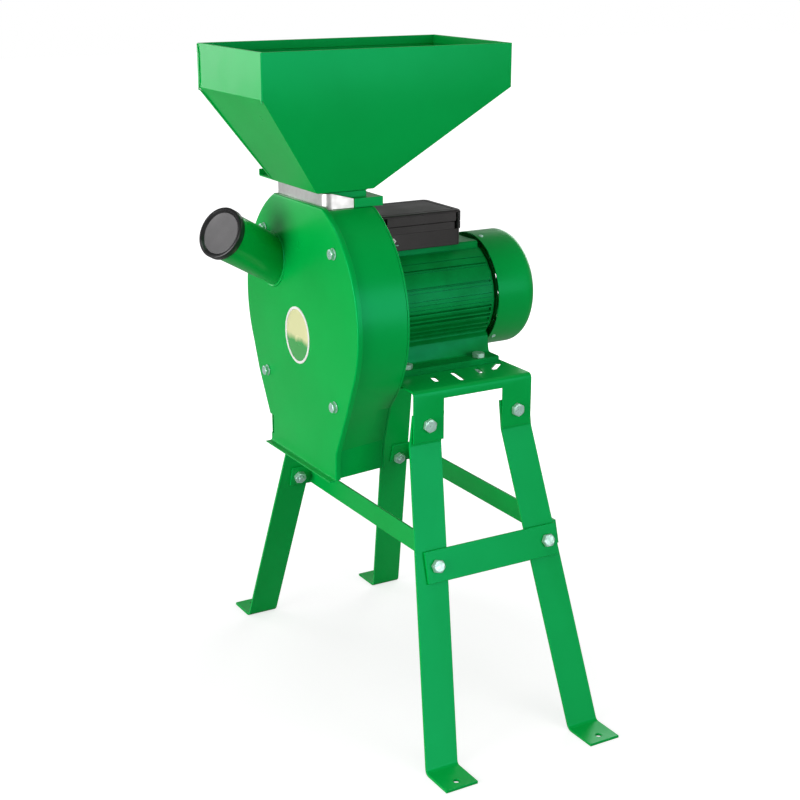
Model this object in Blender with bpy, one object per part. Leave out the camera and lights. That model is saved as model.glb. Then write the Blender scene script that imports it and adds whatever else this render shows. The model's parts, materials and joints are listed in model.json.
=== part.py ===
"""Hammer mill for grain on a bolted stand: one object for each piece. Metres, +Z up, +X from cover to fan."""

from math import acos, asin, atan2, cos, hypot, pi, radians, sin, sqrt, tan

import bmesh
import bpy
from mathutils import Matrix, Vector

# ---------------------------------------------------------------- general
GAP = 0.0003  # clearance between pieces that touch
SHEET = 0.002  # casing sheet
BAR = 0.004  # flat bar of legs and side braces

# ---------------------------------------------------------------- overall
TABLE_Z = 0.504  # top of the table above the floor
HOPPER_HEIGHT = 0.1859  # hopper base to rim

# ---------------------------------------------------------------- stand
TABLE_LENGTH = 0.192  # along X
TABLE_WIDTH = 0.336  # over the ears, along Y
TABLE_SHEET = 0.003
TABLE_BEND = 0.007  # outer radius of the folded edges
FLANGE_DEPTH = 0.015
EAR_WIDTH = 0.048
EAR_DEPTH = 0.073
LEG_WIDTH = 0.050
LEG_TOP_DROP = 0.034  # leg end below the table top
LEG_BEND_DROP = 0.004  # outward bend below the ear
EAR_BOLT_DROP = 0.0495  # ear bolt below the table top
FOOT_X = 0.1195  # pad centre from the stand's middle
FOOT_Y = 0.287  # bend line of the pad
PAD_LENGTH = 0.051
PAD_HOLE_R = 0.0045
PAD_HOLE_OUT = 0.036  # pad hole beyond the pad's bend line
BRACE_Z = 0.267  # height of the brace bolts
BRACE_HEIGHT = 0.045
BRACE_MARGIN = 0.017  # bar end beyond its bolt
BRACE_SHIFT = 0.006  # brace holes towards +X of the leg's middle
STRIP = 0.003  # cross brace thickness
CROSS_HEIGHT = 0.034  # cross brace strip height
CROSS_OFFSET = 0.025  # cross brace strip from its bolt, towards +X
CROSS_MARGIN = 0.014  # cross brace end beyond its bolt
REAR_RISE = 0.008  # rear cross brace above its bolts
SLOT_WIDTH = 0.008
LONG_CUT = 0.02  # reach of a cutter through thin sheet

# ---------------------------------------------------------------- casing
COVER_X = -0.182  # front face of the cover from the stand's middle
CASING_DEPTH = 0.078  # cover face to back plate
CASING_R = 0.170
FLAT_TOP_DROP = 0.0164  # flat top below the full round
CHUTE_HALF = 0.098
CHUTE_LENGTH = 0.040  # knee to the chute's bottom edge
KNEE_HALF = 0.103
KNEE_DROP = 0.007  # knee below the full round
COVER_FLANGE = 0.008
COVER_LIP = 0.009
SHELL_INSET = 0.0045
COVER_BOLTS = [(0.0257, radians(43.3)), (0.0172, radians(-46.6))]  # margin to the full round, angle
LUG_WIDTH = 0.022
LUG_SHEET = 0.003
BACK_SHEET = 0.003
SIEVE_SPACE = 0.030  # sieve inside the full round
SIEVE_SHEET = 0.0015
ARC_STEPS = 12

# ---------------------------------------------------------------- feed
HOPPER_X0 = -0.276
HOPPER_X1 = 0.096
HOPPER_HALF = 0.100
COLLAR_HEIGHT = 0.0585
HOPPER_SHEET = 0.0015
HEM = 0.012
BASE_HALF = 0.067
BASE_RISE = 0.0195  # hopper base above the cover's flat top
BASE_REAR = 0.004  # hopper base behind the back plate
BASE_FRONT = 0.004  # hopper base before the cover
DUCT_FRONT = 0.0085  # feed duct behind the cover's folded edge
DUCT_REAR = 0.004  # feed duct before the back plate
DUCT_SIDE = 0.010  # feed duct inside the hopper base, along Y
GATE_FRONT = 0.002  # gate behind the cover's face
GATE_REAR = 0.001  # gate before the back plate
GATE_OVERLAP = 0.002  # gate past the duct, along Y
GATE_SHEET = 0.002
GATE_TAIL = 0.056  # gate beyond the hopper base
GATE_TAB = 0.010
NECK_SHEET = 0.0015
NECK_CORNER = 0.012
NECK_INSET = 0.0015  # neck inside the hopper base on its right
NECK_OUT = 0.016  # neck beyond the hopper base on its left
NECK_RETURN = 0.022  # neck's short left side, along X
THROAT_FRONT = 0.053  # green throat behind the cover's face
THROAT_REAR = 0.018  # throat behind the casing
THROAT_HEIGHT = 0.0125
TUBE_R = 0.033
TUBE_SHEET = 0.002
TUBE_LENGTH = 0.1165
TUBE_Y = 0.0777
TUBE_UP = 0.0584  # tube axis above the shaft, at the cover
TUBE_RISE = radians(27.3)
TUBE_TURN = radians(22.3)
PLUG_OVER = 0.003  # plug's rim beyond the tube
PLUG_RIM = 0.0035  # plug beyond the tube's end

# ---------------------------------------------------------------- rotor
DISC_R = 0.075
DISC_SHEET = 0.004
ROTOR_WIDTH = 0.0385
ROTOR_START = 0.0245  # rotor behind the cover's face
HUB_R = 0.024
PIN_CIRCLE = 0.062
PIN_R = 0.0047
HAMMER_COUNT = 4
TIP_SPACE = 0.012  # hammer tip inside the sieve
HAMMER_WIDTH = 0.022
HAMMER_SHEET = 0.008
SHAFT_R = 0.0097
NUT_THREAD_R = 0.0070  # shaft end that carries the nut

# ---------------------------------------------------------------- motor
BODY_R = 0.078
FIN_DEPTH = 0.006
FIN_COUNT = 36
BODY_START = 0.0183  # motor body behind the casing
BODY_LENGTH = 0.1737
BODY_CLEAR = 0.009  # body above the table
BORE_WALL = 0.012  # fin tips to bore
SHIELD = 0.0085
FOOT_OUT = 0.020  # foot edge beyond the body, along Y
FOOT_SHEET = 0.008
FOOT_BOLT_X = 0.060
FOOT_BOLT_OUT = 0.008  # foot bolt beyond the body, along Y
COWL_OVER = 0.006  # cowl beyond the body
COWL_X = 0.095
COWL_LENGTH = 0.067
COWL_SHEET = 0.0015
COWL_CORNER = 0.014
FAN_PLAY = 0.014  # fan inside the cowl
CORE_SHAFT_R = 0.0120  # shaft inside the rotor core
CORE_INSET = 0.036  # core from each end of the body
AIR_GAP = 0.0007
WINDING_END = 0.016
BEARING_R = 0.0235
BEARING_WIDTH = 0.014
BOX_X0 = -0.080
BOX_X1 = 0.053
BOX_HALF = 0.050
BOX_RISE = 0.001  # bottom of the terminal box above the body
BOX_BASE_HEIGHT = 0.034
BOX_LID_HEIGHT = 0.016
BOX_WALL = 0.003
CAPACITOR_R = 0.020
CAPACITOR_LENGTH = 0.090

# ---------------------------------------------------------------- fasteners
M10 = {"across": 0.017, "head": 0.0064, "nut": 0.008, "shank": 0.0049}
M8 = {"across": 0.013, "head": 0.0053, "nut": 0.0065, "shank": 0.0039}
HOLE_PLAY = 0.0006
WASHER = 0.0012
WASHER_OVER = 0.62  # washer radius as a share of the head's width

# ---------------------------------------------------------------- worked out
AXIS_Z = TABLE_Z + BODY_R + BODY_CLEAR
CASING_BACK = COVER_X + CASING_DEPTH
CASING_TOP = CASING_R - FLAT_TOP_DROP
KNEE_Z = AXIS_Z - CASING_R - KNEE_DROP
CHUTE_Z = KNEE_Z - CHUTE_LENGTH
SIEVE_R = CASING_R - SIEVE_SPACE
HAMMER_REACH = SIEVE_R - TIP_SPACE - PIN_CIRCLE
PLUG_R = TUBE_R + PLUG_OVER
TUBE_DIRECTION = Vector((-cos(TUBE_RISE) * cos(TUBE_TURN), -cos(TUBE_RISE) * sin(TUBE_TURN), sin(TUBE_RISE)))
PLUG_END = TUBE_LENGTH + PLUG_RIM
FRONT_X = COVER_X + TUBE_DIRECTION.x * PLUG_END - PLUG_R * sqrt(1 - TUBE_DIRECTION.x**2)
REAR_X = COWL_X + COWL_LENGTH
SHIFT = -(FRONT_X + REAR_X) / 2  # puts the middle of the whole machine at X = 0
EAR_Z = TABLE_Z - EAR_DEPTH
BEND_Z = EAR_Z - LEG_BEND_DROP
EAR_BOLT_Z = TABLE_Z - EAR_BOLT_DROP
EAR_X = TABLE_LENGTH / 2 - EAR_WIDTH / 2
LEG_FACE = TABLE_WIDTH / 2 - TABLE_SHEET - GAP  # outer face of a leg behind its ear
SPLAY_X = (FOOT_X - EAR_X) / EAR_BOLT_Z
LEG_LEAN = atan2(FOOT_Y - LEG_FACE, BEND_Z - BAR)
HOPPER_BASE_X0 = COVER_X - BASE_FRONT
HOPPER_BASE_X1 = CASING_BACK + BASE_REAR
BASE_Z = AXIS_Z + CASING_TOP + BASE_RISE
HEIGHT = BASE_Z + HOPPER_HEIGHT
SHELL_TOP = AXIS_Z + CASING_TOP - SHELL_INSET
GATE_Z = BASE_Z - GAP - GATE_SHEET
DUCT = {"x0": COVER_X + COVER_FLANGE + DUCT_FRONT, "x1": CASING_BACK - DUCT_REAR, "half": BASE_HALF - DUCT_SIDE}
GATE_FREE = {"x0": COVER_X + GATE_FRONT, "x1": CASING_BACK - GATE_REAR, "half": DUCT["half"] + GATE_OVERLAP}
BODY_X = CASING_BACK + BODY_START
BODY_END = BODY_X + BODY_LENGTH
BORE_R = BODY_R - BORE_WALL
FOOT_SPAN = BODY_R + FOOT_OUT
FOOT_BOLT_Y = BODY_R + FOOT_BOLT_OUT
COWL_R = BODY_R + COWL_OVER
FAN_R = COWL_R - FAN_PLAY
BOX_Z = BODY_R + BOX_RISE
CORE_R = BORE_R - 0.025
ROTOR_X = COVER_X + ROTOR_START

MATERIALS = {
    "green_paint": ((0.0, 0.36, 0.06), 0.28, 0.0),
    "zinc": ((0.62, 0.62, 0.60), 0.35, 0.9),
    "bolt_zinc": ((0.50, 0.58, 0.53), 0.32, 0.9),
    "black_plastic": ((0.02, 0.02, 0.02), 0.45, 0.0),
    "steel": ((0.35, 0.35, 0.36), 0.40, 0.9),
    "aluminium": ((0.60, 0.60, 0.61), 0.45, 0.9),
    "copper_iron": ((0.25, 0.16, 0.10), 0.50, 0.6),
    "white_plastic": ((0.80, 0.80, 0.76), 0.45, 0.0),
}


# ---------------------------------------------------------------- modelling tools
def clear_scene():
    for thing in list(bpy.data.objects):
        bpy.data.objects.remove(thing, do_unlink=True)


def material(name):
    found = bpy.data.materials.get(name)
    if found:
        return found
    colour, roughness, metallic = MATERIALS[name]
    made = bpy.data.materials.new(name)
    made.use_nodes = True
    shader = made.node_tree.nodes["Principled BSDF"]
    shader.inputs["Base Color"].default_value = (*colour, 1.0)
    shader.inputs["Roughness"].default_value = roughness
    shader.inputs["Metallic"].default_value = metallic
    made.diffuse_color = (*colour, 1.0)
    return made


def to_object(name, shape, finish="green_paint"):
    bmesh.ops.recalc_face_normals(shape, faces=shape.faces[:])
    mesh = bpy.data.meshes.new(name)
    shape.to_mesh(mesh)
    shape.free()
    made = bpy.data.objects.new(name, mesh)
    bpy.context.scene.collection.objects.link(made)
    mesh.materials.append(material(finish))
    return made


def place(made, origin, parent=None):
    """Puts the object's origin at a point on its joint axis and leaves its shape where it is."""
    made.data.transform(Matrix.Translation(-Vector(origin)))
    made.location = origin
    if parent:
        made.parent = parent
        made.location = Vector(origin) - parent.location
    return made


def skin(shape, rings, tube=False):
    """Faces between rings of equal count; a tube joins the last ring to the first, otherwise the ends are closed."""
    layers = [[shape.verts.new(point) for point in ring] for ring in rings]
    count = len(rings[0])
    pairs = list(zip(layers, layers[1:]))
    if tube:
        pairs.append((layers[-1], layers[0]))
    for near, far in pairs:
        for i in range(count):
            j = (i + 1) % count
            shape.faces.new((near[i], near[j], far[j], far[i]))
    if not tube:
        shape.faces.new(layers[0])
        shape.faces.new(layers[-1])


def solid(name, rings, finish="green_paint", tube=False):
    shape = bmesh.new()
    skin(shape, rings, tube)
    return to_object(name, shape, finish)


def along_x(outline, x):
    return [(x, y, z) for y, z in outline]


def prism_x(name, outline, x0, x1, finish="green_paint"):
    return solid(name, [along_x(outline, x0), along_x(outline, x1)], finish)


def box(name, low, high, finish="green_paint"):
    (x0, y0, z0), (x1, y1, z1) = low, high
    return prism_x(name, [(y0, z0), (y1, z0), (y1, z1), (y0, z1)], x0, x1, finish)


def circle(count, radius, turn=0.0):
    return [(radius * cos(turn + 2 * pi * i / count), radius * sin(turn + 2 * pi * i / count)) for i in range(count)]


def frame_on(origin, direction):
    """Matrix whose first axis is the direction, for turned and hexagonal pieces."""
    first = Vector(direction).normalized()
    helper = Vector((0, 0, 1)) if abs(first.z) < 0.9 else Vector((0, 1, 0))
    third = first.cross(helper).normalized()
    second = third.cross(first)
    turned = Matrix((first, second, third)).transposed().to_4x4()
    return Matrix.Translation(Vector(origin)) @ turned


def turned_rings(profile, where, count):
    return [[where @ Vector((s, u, v)) for u, v in circle(count, r)] for s, r in profile]


def turned(name, profile, where, count=24, finish="steel", tube=True):
    """Turns (distance along the axis, radius) pairs; a tube is an open ring shape, otherwise the ends are discs."""
    return solid(name, turned_rings(profile, where, count), finish, tube)


def shaft_frame(x=0.0):
    return frame_on((x, 0, AXIS_Z), (1, 0, 0))


def combine(target, others, operation):
    """Applies one Boolean for each other object, then removes that object."""
    for other in others:
        change = target.modifiers.new(operation.lower(), "BOOLEAN")
        change.operation = operation
        change.object = other
        graph = bpy.context.evaluated_depsgraph_get()
        mesh = bpy.data.meshes.new_from_object(target.evaluated_get(graph))
        target.modifiers.clear()
        target.data = mesh
        bpy.data.objects.remove(other, do_unlink=True)
    return target


def cut(target, *cutters):
    return combine(target, cutters, "DIFFERENCE")


def join(target, *others):
    return combine(target, others, "UNION")


def drill(origin, direction, radius, depth, count=16):
    """Cutter for a round hole, as long again behind its start."""
    where = frame_on(origin, direction)
    return turned("cutter", [(-depth, radius), (depth, radius)], where, count, tube=False)


def offset_path(path, distance):
    """Path moved sideways by a distance, with mitred corners."""
    moved = []
    for i, point in enumerate(path):
        sides = []
        for a, b in ((i - 1, i), (i, i + 1)):
            if a >= 0 and b < len(path):
                dy, dz = path[b][0] - path[a][0], path[b][1] - path[a][1]
                size = hypot(dy, dz)
                sides.append((-dz / size, dy / size))
        ny, nz = (sum(side[k] for side in sides) / len(sides) for k in (0, 1))
        stretch = distance / (ny * ny + nz * nz)
        moved.append((point[0] + ny * stretch, point[1] + nz * stretch))
    return moved


def rounded(path, radius, steps=3):
    """Path with an arc of the given radius at each inner corner."""
    smooth = [path[0]]
    for before, corner, after in zip(path, path[1:], path[2:]):
        a = Vector((before[0] - corner[0], before[1] - corner[1])).normalized()
        b = Vector((after[0] - corner[0], after[1] - corner[1])).normalized()
        half = acos(max(-1.0, min(1.0, a.dot(b)))) / 2
        middle = Vector(corner) + (a + b).normalized() * radius / sin(half)
        start, end = (Vector(corner) + side * radius / tan(half) - middle for side in (a, b))
        sweep = pi - 2 * half
        for i in range(steps + 1):
            f = i / steps
            mix = (start * sin((1 - f) * sweep) + end * sin(f * sweep)) / sin(sweep)
            smooth.append(tuple(middle + mix))
    smooth.append(path[-1])
    return smooth


def strip_outline(path, thickness):
    """Closed outline of a bent sheet whose one face follows the path and whose other lies to its left."""
    return path + offset_path(path, thickness)[::-1]


# ---------------------------------------------------------------- fasteners
def hexagon(across):
    """Twelve points round a hexagon, so that it joins a twelve sided circle."""
    corner = across / sqrt(3)
    return [
        (r * cos(pi * i / 6), r * sin(pi * i / 6)) for i in range(12) for r in [corner if i % 2 == 0 else across / 2]
    ]


def bolt(name, origin, direction, grip, size, washer=0.0, tail=0.003, nut=True):
    """Hexagon bolt from its seat through the grip, with its nut on the far side as one clamped set."""
    where = frame_on(origin, direction)
    hexes, shank = hexagon(size["across"]), circle(12, size["shank"])
    top = -GAP - washer
    layers = [(top - size["head"], hexes), (top, hexes)]
    if washer:
        plate = circle(12, size["across"] * WASHER_OVER)
        layers += [(top, plate), (-GAP, plate)]
    layers.append((-GAP, shank))
    end = grip + GAP
    if nut:
        layers += [(end, shank), (end, hexes), (end + size["nut"], hexes), (end + size["nut"], shank)]
        end += size["nut"]
    layers.append((end + tail, shank))
    return solid(name, [[where @ Vector((s, u, v)) for u, v in ring] for s, ring in layers], "bolt_zinc")


def hole_for(origin, direction, size, depth):
    return drill(origin, direction, size["shank"] + HOLE_PLAY, depth, 12)


# ---------------------------------------------------------------- stand
def leg_middle(z):
    """Distance of a leg's middle from the stand's middle, along X, at a height."""
    return EAR_X + (EAR_BOLT_Z - z) * SPLAY_X


def leg_face_y(z):
    """Distance of a leg's outer face from the middle, along Y, at a height below the bend."""
    return LEG_FACE + (BEND_Z - z) * tan(LEG_LEAN)


def leg(name, side_x, side_y):
    """Flat bar: upright behind the ear, leaning out below it, with a pad turned out at the foot."""
    path = [
        (LEG_FACE, TABLE_Z - LEG_TOP_DROP),
        (LEG_FACE, BEND_Z),
        (FOOT_Y, BAR),
        (FOOT_Y + PAD_LENGTH, BAR),
    ]
    outline = strip_outline(rounded(path, 0.006), -BAR)
    outline = [(y, max(z, 0.0)) for y, z in outline]
    rings = []
    for edge in (-LEG_WIDTH / 2, LEG_WIDTH / 2):
        rings.append([(side_x * leg_middle(z) + edge, side_y * y, z) for y, z in outline])
    made = solid(name, rings)
    ear_bolt = (side_x * EAR_X, side_y * LEG_FACE, EAR_BOLT_Z)
    pad = (side_x * FOOT_X, side_y * (FOOT_Y + PAD_HOLE_OUT), 0)
    seat, inward = brace_seat(side_x, side_y)
    return cut(
        made,
        hole_for(ear_bolt, (0, 1, 0), M10, LONG_CUT),
        drill(pad, (0, 0, 1), PAD_HOLE_R, LONG_CUT, 12),
        hole_for(seat, inward, M10, LONG_CUT),
    )


def brace_seat(side_x, side_y):
    """Point on a leg's outer face where the brace bolt passes, and the bolt's direction."""
    seat = (side_x * leg_middle(BRACE_Z) + BRACE_SHIFT, side_y * leg_face_y(BRACE_Z), BRACE_Z)
    return seat, (0, -side_y * cos(LEG_LEAN), -sin(LEG_LEAN))


def slant(out, up):
    """Point in the leg's side view: out from the leaning outer face and up along it from the brace bolt."""
    y = leg_face_y(BRACE_Z) + out * cos(LEG_LEAN) - up * sin(LEG_LEAN)
    return y, BRACE_Z + out * sin(LEG_LEAN) + up * cos(LEG_LEAN)


def leaning(side_y, x0, x1, near, far, low, high):
    """Ring pair for a plate parallel to a leaning leg face, between two distances out from that face."""
    outline = [slant(out, up) for out, up in ((near, low), (far, low), (far, high), (near, high))]
    return [along_x([(side_y * y, z) for y, z in outline], x) for x in (x0, x1)]


def side_brace(name, side_y):
    """Flat bar over the outer faces of the two legs of one side."""
    half, up = leg_middle(BRACE_Z) + BRACE_MARGIN, BRACE_HEIGHT / 2
    made = solid(name, leaning(side_y, BRACE_SHIFT - half, BRACE_SHIFT + half, GAP, GAP + BAR, -up, up))
    holes = [hole_for(*brace_seat(side_x, side_y), M10, LONG_CUT) for side_x in (-1, 1)]
    return cut(made, *holes)


def cross_brace(name, side_x, rise):
    """Strip across the stand whose ends are folded flat against the inner faces of two legs."""
    bolt_x = side_x * leg_middle(BRACE_Z) + BRACE_SHIFT
    strip_x = bolt_x + CROSS_OFFSET
    near, far = -BAR - GAP, -BAR - GAP - STRIP
    low, high = rise - CROSS_HEIGHT / 2, rise + CROSS_HEIGHT / 2
    outline = [slant((near + far) / 2, up) for up in (low, high)]
    outline += [(-y, z) for y, z in outline[::-1]]
    made = prism_x(name, outline, strip_x - STRIP, strip_x)
    for side_y in (-1, 1):
        made = join(made, solid("tab", leaning(side_y, bolt_x - CROSS_MARGIN, strip_x, far, near, low, high)))
    holes = [hole_for(*brace_seat(side_x, side_y), M10, LONG_CUT) for side_y in (-1, 1)]
    return cut(made, *holes)


def slot_cutter(x, y, length, turn):
    """Upright cutter with round ends for one slot of the table."""
    half, r = length / 2 - SLOT_WIDTH / 2, SLOT_WIDTH / 2
    outline = []
    for end in (1, -1):
        for i in range(5):
            a = turn + (0 if end > 0 else pi) - pi / 2 + pi * i / 4
            outline.append((x + end * half * cos(turn) + r * cos(a), y + end * half * sin(turn) + r * sin(a)))
    return solid("slot", [[(u, v, z) for u, v in outline] for z in (TABLE_Z - LONG_CUT / 2, TABLE_Z + LONG_CUT / 2)])


# Each slot: middle along X, middle from the table's edge along Y, length, angle from X.
TABLE_SLOTS = [
    (-0.037, 0.043, 0.026, radians(76)),
    (-0.002, 0.041, 0.044, radians(80)),
    (0.039, 0.049, 0.028, radians(74)),
    (0.073, 0.055, 0.038, radians(43)),
]


def table():
    """Folded plate: flat top with slots, short flanges and an ear at each corner for a leg."""
    half = TABLE_WIDTH / 2
    path = [(half, EAR_Z), (half, TABLE_Z), (-half, TABLE_Z), (-half, EAR_Z)]
    outline = strip_outline(rounded(path, TABLE_BEND), TABLE_SHEET)
    made = prism_x("table", outline, -TABLE_LENGTH / 2, TABLE_LENGTH / 2)
    window = TABLE_LENGTH / 2 - EAR_WIDTH
    low, high = EAR_Z - LONG_CUT, TABLE_Z - FLANGE_DEPTH
    cutters = [box("window", (-window, -half - LONG_CUT, low), (window, half + LONG_CUT, high))]
    for x, margin, length, turn in TABLE_SLOTS:
        for side_y in (-1, 1):
            cutters.append(slot_cutter(x, side_y * (half - margin), length, -side_y * turn))
    for side_x in (-1, 1):
        for side_y in (-1, 1):
            cutters.append(hole_for((side_x * EAR_X, side_y * half, EAR_BOLT_Z), (0, 1, 0), M10, LONG_CUT))
            foot = (side_x * FOOT_BOLT_X, side_y * FOOT_BOLT_Y, TABLE_Z)
            cutters.append(hole_for(foot, (0, 0, 1), M10, LONG_CUT))
    return cut(made, *cutters)


def stand():
    table()
    corners = {"front_left": (-1, 1), "front_right": (-1, -1), "rear_left": (1, 1), "rear_right": (1, -1)}
    for corner, (side_x, side_y) in corners.items():
        leg("leg_" + corner, side_x, side_y)
        ear = (side_x * EAR_X, side_y * TABLE_WIDTH / 2, EAR_BOLT_Z)
        bolt("leg_bolt_" + corner, ear, (0, -side_y, 0), TABLE_SHEET + GAP + BAR, M10)
        seat, inward = brace_seat(side_x, side_y)
        head = Vector(seat) - Vector(inward) * (GAP + BAR)
        bolt("brace_bolt_" + corner, head, inward, 2 * BAR + 2 * GAP + STRIP, M10)
    side_brace("side_brace_left", 1)
    side_brace("side_brace_right", -1)
    cross_brace("cross_brace_front", -1, 0)
    cross_brace("cross_brace_rear", 1, REAR_RISE)


# ---------------------------------------------------------------- casing
def casing_half(inset):
    """Right half of the casing's outline, from the chute's bottom up to the flat top."""
    radius, top = CASING_R - inset, CASING_TOP - inset
    knee_y, knee_z = KNEE_HALF - inset, KNEE_Z - AXIS_Z
    away = hypot(knee_y, knee_z)
    start = atan2(knee_z, knee_y) + acos(radius / away)
    end = asin(top / radius)
    arc = [start + (end - start) * i / ARC_STEPS for i in range(ARC_STEPS + 1)]
    points = [(CHUTE_HALF - inset, CHUTE_Z), (knee_y, KNEE_Z)]
    return points + [(radius * cos(a), AXIS_Z + radius * sin(a)) for a in arc]


def casing_outline(inset, bottom=CHUTE_Z):
    half = casing_half(inset)
    half[0] = (half[0][0], bottom)
    return half + [(-y, z) for y, z in half[::-1]]


def tube_frame():
    return frame_on((COVER_X, TUBE_Y, AXIS_Z + TUBE_UP), TUBE_DIRECTION)


def cover_bolt_places():
    """Each cover bolt's distance to the side of the shaft and above it."""
    places = []
    for side_y in (-1, 1):
        for margin, angle in COVER_BOLTS:
            reach = CASING_R - margin
            places.append((side_y * reach * cos(angle), reach * sin(angle)))
    return places


def cover():
    """Front plate with its edge folded back over the shell, and its bottom edge turned out as a lip."""
    made = prism_x("cover", casing_outline(0), COVER_X, COVER_X + COVER_FLANGE)
    inside = prism_x("inside", casing_outline(SHEET, CHUTE_Z - LONG_CUT), COVER_X + SHEET, COVER_X + LONG_CUT)
    made = cut(made, inside)
    lip = box("lip", (COVER_X - COVER_LIP, -CHUTE_HALF, CHUTE_Z), (COVER_X + SHEET / 2, CHUTE_HALF, CHUTE_Z + SHEET))
    made = join(made, lip)
    bore = turned("bore", [(-0.05, TUBE_R - TUBE_SHEET), (0.05, TUBE_R - TUBE_SHEET)], tube_frame(), 24, tube=False)
    holes = [hole_for((COVER_X, y, AXIS_Z + up), (1, 0, 0), M8, LONG_CUT) for y, up in cover_bolt_places()]
    return cut(made, bore, *holes)


def casing_shell():
    """Wall of the casing and chute, with a lug for each cover bolt and the feed opening in its flat top."""
    front = COVER_X + SHEET + GAP
    outer, inner = casing_outline(SHELL_INSET), casing_outline(SHELL_INSET + SHEET)
    made = prism_x("casing_shell", outer + inner[::-1], front, CASING_BACK - GAP)
    lugs = []
    for y, up in cover_bolt_places():
        away, angle = hypot(y, up), atan2(up, y)
        low, high, half = away - 0.55 * LUG_WIDTH, away + 4 * LUG_WIDTH, LUG_WIDTH / 2
        corners = [(low, -half), (high, -half), (high, half), (low, half)]
        outline = [(r * cos(angle) - w * sin(angle), AXIS_Z + r * sin(angle) + w * cos(angle)) for r, w in corners]
        lug = prism_x("lug", outline, front, front + LUG_SHEET)
        within = prism_x("within", casing_outline(SHELL_INSET + SHEET / 2), front - LONG_CUT, front + LONG_CUT)
        lugs.append(combine(lug, [within], "INTERSECT"))
    made = join(made, *lugs)
    feed = box(
        "feed",
        (DUCT["x0"], -DUCT["half"], SHELL_TOP - LONG_CUT),
        (DUCT["x1"], DUCT["half"], SHELL_TOP + LONG_CUT),
    )
    holes = [hole_for((front, y, AXIS_Z + up), (1, 0, 0), M8, LONG_CUT) for y, up in cover_bolt_places()]
    return cut(made, feed, *holes)


def back_plate():
    """Rear wall of the casing, which the motor's front shield passes its shaft through."""
    made = prism_x("back_plate", casing_outline(SHELL_INSET), CASING_BACK, CASING_BACK + BACK_SHEET)
    return cut(made, drill((CASING_BACK, 0, AXIS_Z), (1, 0, 0), SHAFT_R + 0.004, LONG_CUT, 24))


def sieve():
    """Half round screen under the rotor, slotted, with its ends turned out to the casing wall."""
    x0, x1 = COVER_X + 0.016, CASING_BACK - 0.004
    start, end = radians(200), radians(340)
    steps = 20
    arc = [start + (end - start) * i / steps for i in range(steps + 1)]
    path = [(SIEVE_R * cos(a), AXIS_Z + SIEVE_R * sin(a)) for a in arc]
    wall = CASING_R - SHELL_INSET - SHEET - 0.002
    path = [(wall * cos(start), AXIS_Z + wall * sin(start))] + path
    path.append((wall * cos(end), AXIS_Z + wall * sin(end)))
    made = prism_x("sieve", strip_outline(path, -SIEVE_SHEET), x0, x1, "zinc")
    rows, clear = 4, 0.008
    pitch = (x1 - x0 - clear) / rows
    cutters = []
    for i in range(1, steps - 1, 2):
        a = (arc[i] + arc[i + 1]) / 2
        for row in range(rows):
            x = x0 + clear + row * pitch
            corners = [(SIEVE_R - 0.01, -0.004), (SIEVE_R + 0.01, -0.004), (SIEVE_R + 0.01, 0.004), (SIEVE_R - 0.01, 0.004)]
            outline = [(r * cos(a) - w * sin(a), AXIS_Z + r * sin(a) + w * cos(a)) for r, w in corners]
            cutters.append(prism_x("slot", outline, x, x + pitch - clear))
    return cut(made, *cutters)


def casing():
    cover()
    casing_shell()
    back_plate()
    sieve()
    for number, (y, up) in enumerate(cover_bolt_places(), 1):
        bolt(f"cover_bolt_{number}", (COVER_X, y, AXIS_Z + up), (1, 0, 0), SHEET + GAP + LUG_SHEET, M8, WASHER)


# ---------------------------------------------------------------- feed
def rectangle(x0, x1, half, z):
    return [(x0, -half, z), (x1, -half, z), (x1, half, z), (x0, half, z)]


def hopper():
    """Sheet funnel with an upright collar, a hem folded inside its rim, and an outlet in its flat base."""
    collar = HEIGHT - COLLAR_HEIGHT
    t = HOPPER_SHEET
    rings = [
        rectangle(HOPPER_X0, HOPPER_X1, HOPPER_HALF, HEIGHT),
        rectangle(HOPPER_X0, HOPPER_X1, HOPPER_HALF, collar),
        rectangle(HOPPER_BASE_X0, HOPPER_BASE_X1, BASE_HALF, BASE_Z),
        rectangle(DUCT["x0"], DUCT["x1"], DUCT["half"], BASE_Z),
        rectangle(DUCT["x0"], DUCT["x1"], DUCT["half"], BASE_Z + t),
        rectangle(HOPPER_BASE_X0 + 2 * t, HOPPER_BASE_X1 - 3 * t, BASE_HALF - 2 * t, BASE_Z + t),
        rectangle(HOPPER_X0 + t, HOPPER_X1 - t, HOPPER_HALF - t, collar + t / 2),
        rectangle(HOPPER_X0 + t, HOPPER_X1 - t, HOPPER_HALF - t, HEIGHT - HEM),
        rectangle(HOPPER_X0 + 2 * t, HOPPER_X1 - 2 * t, HOPPER_HALF - 2 * t, HEIGHT - HEM),
        rectangle(HOPPER_X0 + 2 * t, HOPPER_X1 - 2 * t, HOPPER_HALF - 2 * t, HEIGHT),
    ]
    return solid("hopper", rings, tube=True)


def neck_band():
    """Bare zinc strip bent round the front of the throat, lower towards its two ends."""
    x0, x1 = COVER_X + COVER_FLANGE + GAP, COVER_X + THROAT_FRONT - GAP
    right, left = -BASE_HALF + NECK_INSET, BASE_HALF + NECK_OUT
    path = rounded([(x1, right), (x0, right), (x0, left), (x0 + NECK_RETURN, left)], NECK_CORNER, 4)
    outline = strip_outline(path, -NECK_SHEET)
    low, high, end = SHELL_TOP + GAP, GATE_Z - GAP, SHELL_TOP + THROAT_HEIGHT
    fall_from = x0 + NECK_CORNER

    def top(x):
        if x <= fall_from:
            return high
        return high + (end - high) * (x - fall_from) / (x1 - fall_from)

    return solid("neck_band", [[(x, y, low) for x, y in outline], [(x, y, top(x)) for x, y in outline]], "zinc")


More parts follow.
